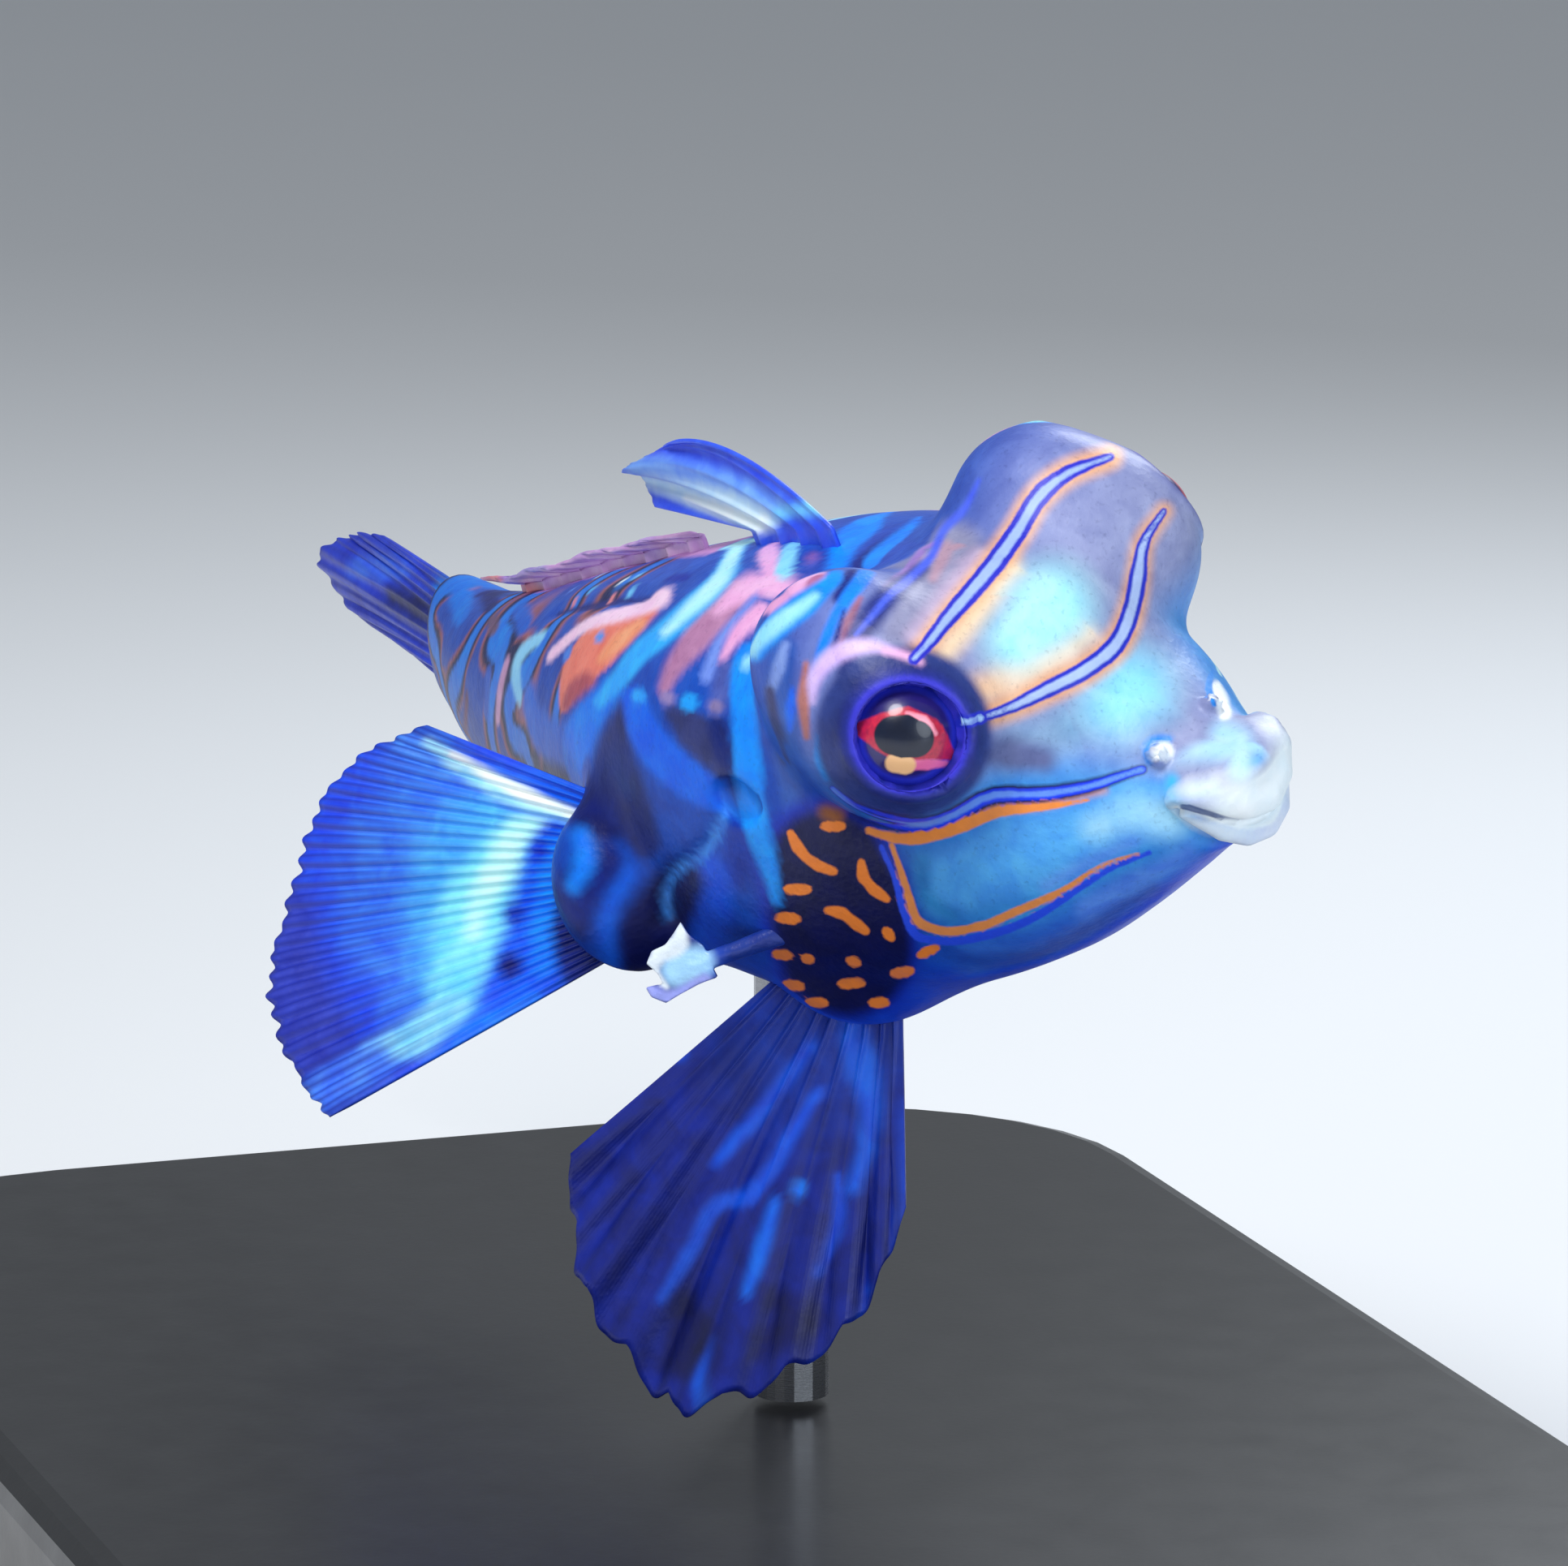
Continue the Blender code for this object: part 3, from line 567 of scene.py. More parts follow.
WASHES = (
    # flank, from the tail forwards
    ("02125f", 14, (30, 42, 30), ((610, 920), (680, 950), (745, 1010))),
    ("0a63dc", 12, (24, 30, 26), ((652, 862), (662, 900), (700, 922))),
    ("0377ef", 9, (16, 20, 28, 24), ((752, 850), (722, 885), (705, 925), (712, 965))),
    ("1a266c", 9, (5, 20, 30, 28, 18), ((768, 868), (761, 902), (756, 940), (770, 985), (796, 1040))),
    ("0460e8", 6, (15, 20, 24, 22, 16), LOWER_BAND),
    ("2c346d", 8, (11, 24, 22, 12), ((830, 880), (850, 896), (868, 915), (892, 948))),
    ("071e6d", 7, (12, 14, 7), ((885, 895), (892, 920), (902, 955))),
    ("0a4ab8", 8, (10, 14, 9), ((864, 828), (858, 848), (860, 866))),
    ("4a5cb0", 9, (11, 13, 9), ((892, 822), (889, 850), (886, 872))),
    ("0532a2", 9, (12, 20, 12), ((908, 1015), (910, 1050), (906, 1085))),
    ("0a50e0", 14, (28, 34, 26), ((872, 1085), (866, 1130), (860, 1170))),
    ("020c50", 14, (30, 46, 40), ((838, 1090), (806, 1150), (812, 1215))),
    ("0a58d8", 10, (8, 10, 8), ((775, 1075), (748, 1130), (756, 1215))),
    ("021b75", 12, (26, 34, 28), PECTORAL_ROOT),
    # the pale and salmon stripes of the back, and a painted highlight on the rim of the flank's bulge
    ("b07aa6", 6, (18, 18, 17, 12, 7), ((906, 734), (876, 764), (850, 795), (829, 824), (818, 850))),
    ("edb3e3", 9, (16, 13, 5), ((928, 722), (902, 738), (884, 754))),
    ("6c8ce8", 4, (4, 5, 6, 8), ((932, 736), (906, 766), (882, 800), (870, 834))),
    ("e8a8dc", 5, (11, 11, 9, 4), ((962, 738), (932, 760), (907, 785), (890, 812))),
    ("edb3e3", 6, (15, 18, 18), ((950, 722), (976, 720), (1000, 712))),
    ("b06898", 6, (9, 13, 9), ((1002, 690), (1006, 708), (1000, 724))),
    ("e87c6c", 5, (12, 26, 36, 32, 16), TEARDROP),
    ("a84c5c", 8, (10, 14, 8), ((722, 838), (706, 850), (697, 868))),
    ("f6d0f0", 6, (15, 12, 11, 9), ((815, 735), (762, 756), (712, 776), (678, 808))),
    ("f0a078", 6, (6, 10, 5), ((790, 768), (762, 790), (740, 812))),
    # a pale cyan painted highlight where the top light falls on the rim of the flank's bulge
    ("8ad1fc", 6, (9, 12, 12, 9), ((668, 784), (645, 800), (635, 830), (640, 862))),
    ("cc9cc8", 4, (7, 9, 8), ((626, 815), (617, 845), (613, 888))),
    ("2a5cc8", 5, (9, 9), ((601, 828), (598, 880))),
    ("6a3060", 7, (9, 9), ((576, 860), (573, 905))),
    ("c088c8", 7, (12, 15, 17, 18), ((678, 712), (735, 700), (800, 686), (884, 678))),
    ("edb3e3", 5, (10, 14, 10), ((948, 664), (947, 684), (950, 706))),
    ("1a2a90", 5, (8, 9), ((1022, 690), (1016, 712))),
    ("d87890", 5, (11, 12), ((586, 694), (612, 710))),
    ("e08494", 5, (12, 13), ((648, 724), (674, 736))),
    ("0a70e0", 7, (16, 14), ((566, 716), (570, 760))),
    ("0a1a70", 7, (15, 13), ((603, 728), (606, 748))),
    ("6a5070", 6, (10, 10), ((606, 762), (610, 776))),
    ("0a5cd0", 7, (14, 15), ((640, 748), (648, 772))),
    # the column between the gill cover and the eye
    ("2c58b4", 7, (15, 18, 16, 12), ((966, 800), (960, 850), (970, 930), (978, 1008))),
    ("7c98e0", 5, (5, 8, 5), ((968, 795), (959, 825), (950, 850))),
    ("373a72", 5, (6, 7, 8), ((948, 852), (953, 888), (968, 935))),
    # nape and brow
    ("2448b4", 18, (44, 54, 40), ((1062, 700), (1112, 668), (1160, 632))),
    ("8e90b4", 16, (24, 36, 34, 30), ((1110, 776), (1150, 720), (1195, 655), (1232, 600))),
    ("bca8c8", 12, (12, 15, 10), ((1128, 784), (1165, 740), (1210, 680))),
    ("a080d0", 3, (4, 5, 4), ((1146, 664), (1126, 692), (1092, 724))),
    ("b090a8", 6, (8, 9, 6), ((1174, 656), (1160, 690), (1150, 712))),
    ("98a0cc", 22, (26, 32, 26), ((1240, 582), (1292, 548), (1345, 548))),
    ("7c79d1", 10, (9, 10, 9), ((1236, 556), (1300, 520), (1356, 532))),
    ("4a90e4", 18, (18, 20, 18), ((1395, 590), (1432, 640), (1440, 700))),
    ("2a84f4", 12, (14, 16, 14), ((1384, 545), (1440, 600), (1470, 675))),
    # forehead and snout, with a painted pool of light on the forehead and painted shade under the snout's
    # tip
    ("c4c8d8", 24, (30, 34, 26), ((1310, 650), (1345, 625), (1390, 640))),
    ("ecd0b0", 15, (13, 17, 16, 12), ((1158, 812), (1200, 758), (1242, 700), (1280, 645))),
    ("f0c8a8", 18, (14, 24, 20, 12), ((1180, 858), (1225, 846), (1290, 818), (1346, 782))),
    ("e8ccd8", 14, (12, 14, 12), ((1352, 780), (1378, 744), (1384, 700))),
    # painted light: a pale cyan pool where the forehead's valley between the eyes is lit
    ("a8f0fc", 36, (34, 48, 36), ((1255, 790), (1290, 755), (1325, 700))),
    ("7c9cc4", 22, (18, 26, 22), ((1258, 912), (1305, 900), (1352, 876))),
    ("5a6494", 14, (16, 22, 16), ((1205, 922), (1240, 928), (1285, 935))),
    ("8cdcfa", 40, (40, 64, 56), ((1380, 866), (1430, 820), (1470, 880))),
    ("8cc4f4", 18, (18, 22, 20), ((1430, 690), (1440, 735), (1450, 780))),
    ("b0dcfa", 14, (16, 18, 14), ((1490, 900), (1525, 915), (1530, 950))),
    # painted shade between the snout's tip and the upper lip
    ("78c0f8", 12, (6, 7), ((1551, 921), (1549, 937))),
    ("34b4f4", 9, (8, 10, 9), ((1444, 962), (1438, 985), (1440, 1004))),
    ("a4bcf4", 8, (10, 11, 9), ((1458, 976), (1474, 975), (1492, 972))),
    # cheek, jaw and throat
    ("d88a58", 7, (9, 11, 9, 5), ((1190, 1004), (1231, 993), (1290, 988), (1360, 976))),
    ("4aa0ee", 14, (34, 44, 44, 30), CHEEK_MIDDLE),
    ("2a80c8", 10, (10, 11, 8), ((1136, 1060), (1140, 1104), (1172, 1128))),
    ("56b4fe", 22, (14, 20, 16), ((1220, 1072), (1290, 1045), (1350, 1030))),
    ("98d6fb", 22, (14, 24, 22), ((1350, 1020), (1400, 1002), (1440, 1010))),
    ("5a98ee", 10, (8, 9, 6), ((1290, 1092), (1345, 1062), (1396, 1038))),
    ("2c68d8", 16, (22, 24, 18), ((1200, 1184), (1290, 1158), (1400, 1090))),
    ("164cb8", 10, (8, 11, 10, 6), JAW_BAND),
    ("5a90f0", 14, (12, 12, 10), ((1340, 1120), (1410, 1082), (1464, 1050))),
    ("1040cc", 20, (22, 26, 18), ((1110, 1236), (1200, 1230), (1300, 1205))),
    ("0a2cb4", 14, (88, 98, 92), GILL_PATCH),
    ("020848", 12, (72, 84, 82), GILL_PATCH),
    ("9a5a30", 8, (8, 9), ((1018, 1000), (1030, 1006))),
    ("e8b088", 10, (14, 17, 19, 18, 15), EYE_LINE_A, ONCE),
    ("e6aa80", 10, (15, 18, 19, 15, 10), EYE_LINE_B, ONCE),
    # bands of the nape and flank, with painted highlights along the upper parts of the first two flank bands
    ("0888fc", 5, (5, 16, 17, 14, 8), NAPE_ONE, NAPE),
    ("10207c", 5, (3, 8, 9, 6), ((1118, 652), (1084, 676), (1052, 706), (1032, 736)), NAPE),
    ("0c84fc", 4, (3, 9, 10, 9, 8, 6, 3), NAPE_TWO, NAPE),
    ("10207c", 4, (2, 4, 2), ((1040, 752), (1034, 775), (1026, 806))),
    ("98607c", 4, (3, 7, 3), ((1060, 738), (1047, 765), (1036, 796))),
    ("24307c", 8, (8, 14, 16, 14, 8),
     ((1136, 700), (1104, 726), (1078, 752), (1056, 786), (1040, 830)), NAPE),
    ("4a64f0", 4, (2, 5, 5, 5, 4, 2), NAPE_THREE, NAPE),
    ("0690fc", 5, (8, 16, 16, 16, 15, 16, 18, 16, 12, 6), FIRST_BAND),
    # a pale cyan painted highlight along the upper part of the first band
    ("9ae4fe", 6, (5, 10, 10, 4), ((1004, 734), (968, 762), (936, 791), (920, 822))),
    ("2aa8fc", 5, (10, 15, 15, 14, 13, 12, 8), SECOND_BAND),
    # a pale cyan painted highlight along the upper part of the second band
    ("b4f4fe", 6, (8, 11, 10, 8, 4), ((925, 645), (905, 680), (885, 715), (850, 750), (818, 780))),
    ("3c90f4", 8, (3, 4, 5, 4, 3), GILL_EDGE),
    ("2aa0f8", 4, (9,), ((788, 858),)), ("8a7ab4", 4, (9,), ((822, 861),)),
    ("1aa0f8", 4, (11,), ((849, 866),)), ("8074a8", 4, (9,), ((882, 871),)),
    ("4a86e8", 4, (11,), ((698, 806),)), ("5a90e8", 4, (8,), ((739, 785),)),
    ("0a6af5", 4, (3, 7, 3), ((976, 850), (973, 875), (972, 900))),
    ("b0706c", 4, (3, 8, 4), ((993, 818), (990, 865), (993, 908))),
    ("1a9cff", 4, (4, 7, 3), ((1009, 908), (1010, 936), (1018, 960))),
    ("8adcfc", 4, (9, 10), ((974, 676), (965, 704))),
    ("0a1878", 4, (3, 6, 3), BACK_GROOVE),
    ("0c2aa0", 4, (7, 8), ((823, 713), (846, 712))),
    ("a8e4fc", 4, (10,), ((740, 710),)), ("d8f0ff", 4, (10,), ((768, 716),)),
    ("7cc0f4", 4, (9,), ((786, 710),)), ("4ab0f4", 4, (10,), ((730, 727),)),
    ("6cc0f8", 4, (9,), ((776, 727),)), ("e08c98", 4, (9,), ((751, 735),)),
    ("d88498", 4, (9,), ((706, 740),)), ("5a90f0", 4, (9,), ((705, 726),)),
    ("0a7cf0", 12, (10, 14, 10), ((716, 1030), (722, 1052), (708, 1090))),
    # the right eye's dome, its crescent, a painted highlight along the eye's rim, and the nostrils
    ("2c3e84", 8, (109,), ((1113, 905),)),
    ("1c2866", 22, (90,), ((1113, 905),)),
    ("d4b8f4", 7, (3, 9, 11, 11, 8, 3), ((1001, 864), (1004, 836), (1020, 814), (1045, 800), (1076, 796),
                                           (1104, 803))),
    ("f0b8e4", 6, (3, 5, 4), ((1090, 802), (1112, 806), (1134, 816))),
    # a grey painted highlight along the eye's upper rim, the reflection of the socket's rim
    ("8490b8", 7, (3, 6, 3), ((1124, 842), (1152, 860), (1175, 884))),
    ("2a94f4", 5, (4, 6, 6, 4), ((1416, 938), (1414, 922), (1424, 912), (1440, 911))),
    ("f4fbff", 4, (11, 12), ((1427, 926), (1434, 926))),
    ("f4fbff", 4, (7, 9, 7), ((1499, 846), (1505, 862), (1509, 880)), ONCE),
)

STROKES = tuple(
    (level, code, halves, path, limit)
    for path, limit, *layers in (
        (EYE_LINE_A, ONCE, ("line", "3034d0", (7, 12, 13, 12, 5)), ("core", "a7c2fb", (2, 5.5, 6, 5, 1))),
        (EYE_LINE_B, ONCE, ("line", "2834cc", (6, 11, 12, 11, 4)), ("core", "b4ccfc", (2, 5.5, 6, 5.5, 1))),
        *(((bead,), ONCE, ("line", "2430c8", (9,)), ("core", "a8d0ff", (4.5,))) for bead in EYE_BEADS),
        (CHEEK_LINE, SIDES, ("band", "101448", (4, 10, 12, 12, 10, 5)),
         ("line", "1c40f8", (4, 7, 8, 8, 7, 4)), ("core", "6a9cff", (2.5, 3, 4, 3.5, 2.5))),
        (CHEEK_FRAME_TOP, SIDES, ("line", "f89440", (4, 7, 7, 5, 2))),
        (CHEEK_FRAME_REAR, SIDES, ("line", "f49850", (3, 6, 5.5, 4, 1))),
        (CHEEK_RIM, SIDES, ("line", "2a54fc", (3, 6, 5, 3))),
        *((mark, SIDES, ("line", "ff8c2c", (5, 7.5, 6, 7.5, 5))) for mark in GILL_MARKS),
        # a pale cyan painted highlight along the top-left side of the snout, down to the far nostril
        (((1466, 765), (1482, 790), (1495, 813), (1503, 832)), ONCE, ("core", "c8f8ff", (3, 4.5, 4.5, 3))),
        (((1494, 828), (1489, 846), (1496, 868)), ONCE, ("line", "2a90f0", (3, 4.5, 3))),
    )
    for level, code, halves in layers
)

RELIEF = (
    (GILL_EDGE, 0.14, 0.3), (BACK_GROOVE, 0.15, 0.3), (CHEEK_LINE, 0.08, 0.3), (JAW_BAND, 0.10, 0.4),
    (FIRST_BAND[2:], -0.05, 0.3), (EYE_LINE_A, -0.05, 0.2), (EYE_LINE_B, -0.05, 0.2),
)


# ---------------------------------------------------------------- shader expressions


class Term:
    """A shader socket that can be used in an expression; each operator adds one Math node."""

    def __init__(self, finish, socket):
        self.finish, self.socket = finish, socket

    def math(self, operation, *others, clamp=False):
        values = {k: other for k, other in enumerate((self, *others))}
        return self.finish.node("Math", {"operation": operation, "use_clamp": clamp}, values)

    def __add__(self, other):
        return self.math("ADD", other)

    def __sub__(self, other):
        return self.math("SUBTRACT", other)

    def __mul__(self, other):
        return self.math("MULTIPLY", other)

    def __truediv__(self, other):
        return self.math("DIVIDE", other)

    def __pow__(self, other):
        return self.math("POWER", other)

    def __radd__(self, other):
        return self.math("ADD", other)

    def __rmul__(self, other):
        return self.math("MULTIPLY", other)

    def __rsub__(self, other):
        return self.finish.node("Math", {"operation": "SUBTRACT"}, {0: other, 1: self})

    def __neg__(self):
        return self.math("MULTIPLY", -1.0)

    def sine(self):
        return self.math("SINE")

    def inside(self, soft):
        """1 where a stroke's distance is below nothing, fading over a soft edge in mm."""
        return (0.5 - self / soft).math("ADD", 0.0, clamp=True)


class Finish:
    """One material and its nodes."""

    def __init__(self, name, **fixed):
        self.material = bpy.data.materials.new(name)
        self.material.use_nodes = True
        self.tree = self.material.node_tree
        self.shader = self.tree.nodes["Principled BSDF"]
        for socket, value in fixed.items():
            self.shader.inputs[socket.replace("_", " ").title()].default_value = value

    def node(self, kind, settings=None, inputs=None, output=0):
        made = self.tree.nodes.new("ShaderNode" + kind)
        for name, value in (settings or {}).items():
            setattr(made, name, value)
        for key, value in (inputs or {}).items():
            self.join(value, made.inputs[key])
        return Term(self, made.outputs[output])

    def join(self, value, socket):
        if isinstance(value, Term):
            self.tree.links.new(value.socket, socket)
        elif socket.type == "RGBA":
            socket.default_value = (*value, 1.0)[:4]
        else:
            socket.default_value = value

    def set(self, socket, value):
        self.join(value, self.shader.inputs[socket])

    def attribute(self, name):
        return self.node("Attribute", {"attribute_name": name}, output="Fac")

    def attribute_colour(self, name):
        return self.node("Attribute", {"attribute_name": name}, output="Color")

    def place(self, scale=1.0, offset=(0.0, 0.0, 0.0)):
        """The piece's own coordinates, in millimetres times scale."""
        here = self.node("TexCoord", output="Object")
        sizes = (scale / MM,) * 3 if isinstance(scale, float) else tuple(k / MM for k in scale)
        return self.node("Mapping", inputs={"Vector": here, "Scale": sizes, "Location": offset})

    def noise(self, scale, detail=2.0, where=None, distortion=0.0, roughness=0.5):
        return self.node(
            "TexNoise",
            inputs={
                "Vector": where or self.place(),
                "Scale": scale,
                "Detail": detail,
                "Distortion": distortion,
                "Roughness": roughness,
            },
            output="Fac",
        )

    def mix(self, share, first, second, blend="MIX"):
        return self.node(
            "Mix",
            {"data_type": "RGBA", "blend_type": blend, "clamp_factor": True},
            {0: share, 6: first, 7: second},
            output=2,
        )

    def bump(self, height, distance, strength=1.0):
        made = self.node(
            "Bump", inputs={"Height": height, "Distance": distance * MM, "Strength": strength}
        )
        self.set("Normal", made)


# ---------------------------------------------------------------- shared ways of making a piece


def clear_selection():
    if bpy.context.object and bpy.context.object.mode != "OBJECT":
        bpy.ops.object.mode_set(mode="OBJECT")
    for thing in bpy.context.view_layer.objects:
        thing.select_set(False)


def corners(thing):
    """A mesh's vertices, in mm."""
    out = np.empty(len(thing.data.vertices) * 3)
    thing.data.vertices.foreach_get("co", out)
    return out.reshape(-1, 3) / MM


def move_corners(thing, points):
    thing.data.vertices.foreach_set("co", (np.asarray(points) * MM).ravel())
    thing.data.update()


def triangles_of(thing):
    thing.data.calc_loop_triangles()
    out = np.empty(len(thing.data.loop_triangles) * 3, np.int64)
    thing.data.loop_triangles.foreach_get("vertices", out)
    return out.reshape(-1, 3)


def keep_values(thing, name, values):
    found = thing.data.attributes.get(name) or thing.data.attributes.new(name, "FLOAT", "POINT")
    found.data.foreach_set("value", np.asarray(values, np.float32))


def keep_colour(thing, name, colours):
    found = thing.data.attributes.new(name, "FLOAT_COLOR", "POINT")
    values = np.concatenate([colours, np.ones((len(colours), 1))], axis=1)
    found.data.foreach_set("color", values.astype(np.float32).ravel())


def apply_modifier(thing, kind, **settings):
    clear_selection()
    thing.select_set(True)
    bpy.context.view_layer.objects.active = thing
    made = thing.modifiers.new(kind.title(), kind)
    for name, value in settings.items():
        setattr(made, name, value)
    bpy.ops.object.modifier_apply(modifier=made.name)


def finish_piece(thing, name, slot, *nodes):
    thing.name = name
    thing.data.name = name
    for face in thing.data.polygons:
        face.use_smooth = True
    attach(thing, "root")
    if nodes:
        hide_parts(*nodes)


def added(kind, **settings):
    """The object that one of Blender's primitives makes, with nothing else selected."""
    clear_selection()
    getattr(bpy.ops.mesh, "primitive_" + kind + "_add")(**settings)
    return bpy.context.object


def joined(things):
    clear_selection()
    for thing in things:
        thing.select_set(True)
    bpy.context.view_layer.objects.active = things[0]
    bpy.ops.object.join()
    return things[0]


def outward(thing):
    """Faces turned outwards, once doubles are merged."""
    shape = bmesh.new()
    shape.from_mesh(thing.data)
    bmesh.ops.remove_doubles(shape, verts=shape.verts, dist=1e-7)
    bmesh.ops.recalc_face_normals(shape, faces=shape.faces)
    if shape.calc_volume(signed=True) < 0:
        bmesh.ops.reverse_faces(shape, faces=shape.faces)
    shape.to_mesh(thing.data)
    shape.free()


# ---------------------------------------------------------------- skin


class SkinSettings(PropertyGroup):
    grain: FloatProperty(
        name="Mesh size", description="Edge of the skin's faces behind the head", default=0.22 * MM,
        min=0.1 * MM, max=1.0 * MM, subtype="DISTANCE", unit="LENGTH", precision=5,
    )
    mottle: FloatProperty(
        name="Mottle", description="Strength of the fine blotches", default=1.0, min=0.0, max=2.0,
    )
    speckle: colour_property("Speckle", "Fine dark specks", "0a1450")
    lips: colour_property("Lips", "White of the lips", "fafdff")
    lip_shade: colour_property("Lip shade", "Cloudy tone of the lips", "bce8fd")
    mouth: colour_property("Mouth", "Line of the mouth", "2a4a90")


def skin_blank(grain):
    """The rough body, lips and nostrils as one closed quad mesh in the straight fish."""
    body = added("uv_sphere", segments=96, ring_count=121, radius=1.0)
    p = corners(body) * MM
    turn = np.arctan2(p[:, 1], p[:, 0])
    along = np.arccos(np.clip(-p[:, 2], -1, 1)) / math.pi
    s = MOUTH_FRONT + 0.05 + (BODY_END - 0.1 - MOUTH_FRONT) * along
    pole = np.abs(p[:, 2]) > 0.99999
    placed = skin_point(s, turn)
    placed[pole, 1] = 0.0
    placed[pole, 2] = section(s[pole])[2]
    move_corners(body, placed)
    parts = [body]
    lip = added("uv_sphere", segments=48, ring_count=32, radius=1.0)
    move_corners(lip, corners(lip) * MM * np.array(UPPER_LIP_RADII) + np.array(UPPER_LIP))
    parts.append(lip)
    for side in (1, -1):
        for path in (UPPER_ROLL, LOWER_ROLL):
            for a, b in zip(path[:-1], path[1:]):
                for k in np.linspace(0, 1, 5):
                    at = np.array(a) * (1 - k) + np.array(b) * k
                    bead = added("ico_sphere", subdivisions=2, radius=1.0)
                    place = at[:3] * np.array([1, side, 1])
                    move_corners(bead, corners(bead) * MM * at[3] + place)
                    parts.append(bead)
        tube = added("cylinder", vertices=20, radius=1.0, depth=2.0)
        turn_to = Vector((0, 0, 1)).rotation_difference(Vector(NOSTRIL_OUT)).to_matrix()
        size = np.array([NOSTRIL_RADIUS, NOSTRIL_RADIUS, NOSTRIL_HEIGHT])
        at = corners(tube) * MM * size @ np.array(turn_to).T + NOSTRIL_FOOT
        move_corners(tube, at * np.array([1, side, 1]))
        parts.append(tube)
    for part in parts:
        outward(part)
    blank = joined(parts)
    apply_modifier(blank, "REMESH", mode="VOXEL", voxel_size=grain)
    return blank


def onto_surface(p, rounds):
    """Points moved on to the finished skin."""
    step = 0.02
    for _ in range(rounds):
        here = surface(p[:, 0], p[:, 1], p[:, 2])
        slope = np.stack(
            [
                surface(p[:, 0] + d[0], p[:, 1] + d[1], p[:, 2] + d[2])
                - surface(p[:, 0] - d[0], p[:, 1] - d[1], p[:, 2] - d[2])
                for d in np.eye(3) * step
            ],
            -1,
        ) / (2 * step)
        reach = np.clip(here / np.maximum((slope**2).sum(-1), 0.15), -0.35, 0.35)
        p = p - slope * reach[:, None]
    return p


def relaxed(thing, p, share=0.5):
    """Each point drawn towards its neighbours."""
    edges = np.empty(len(thing.data.edges) * 2, np.int64)
    thing.data.edges.foreach_get("vertices", edges)
    a, b = edges.reshape(-1, 2).T
    total = np.zeros_like(p)
    count = np.zeros(len(p))
    for i, j in ((a, b), (b, a)):
        np.add.at(total, i, p[j])
        np.add.at(count, i, 1.0)
    return p + (total / count[:, None] - p) * share


def refine(thing, chosen):
    """Splits the faces whose middle the test accepts, once."""
    clear_selection()
    thing.select_set(True)
    bpy.context.view_layer.objects.active = thing
    middles = np.empty(len(thing.data.polygons) * 3)
    thing.data.polygons.foreach_get("center", middles)
    bpy.ops.object.mode_set(mode="EDIT")
    bpy.ops.mesh.select_mode(type="FACE")
    bpy.ops.mesh.select_all(action="DESELECT")
    bpy.ops.object.mode_set(mode="OBJECT")
    thing.data.polygons.foreach_set("select", chosen(middles.reshape(-1, 3) / MM))
    bpy.ops.object.mode_set(mode="EDIT")
    bpy.ops.mesh.subdivide(number_cuts=1)
    bpy.ops.mesh.select_all(action="SELECT")
    bpy.ops.mesh.quads_convert_to_tris()
    bpy.ops.object.mode_set(mode="OBJECT")


def flank_bands(p):
    """Distance outside the rule-made wavy bands behind the gill cover."""
    s, z = p[:, 0], p[:, 2]

    def phase(s, z):
        sway = np.sin(0.62 * s + 1.25 * z + 0.8) + 0.8 * np.sin(0.95 * z - 0.43 * s)
        sway = sway + 0.5 * np.sin(1.9 * z + 0.21 * s + 2.0)
        return (s / 6.6 + 0.07 * z + 0.17 * sway) * 2 * math.pi

    here = phase(s, z)
    along = (phase(s + 0.05, z) - phase(s - 0.05, z)) / 0.1
    upward = (phase(s, z + 0.05) - phase(s, z - 0.05)) / 0.1
    wrapped = np.abs((here + math.pi) % (2 * math.pi) - math.pi)
    gap = wrapped / np.maximum(np.hypot(along, upward), 0.9)
    return gap + 3.0 * smooth((26.0 - s) / 3.0) + 3.0 * smooth((-z - 5.2) / 1.2)


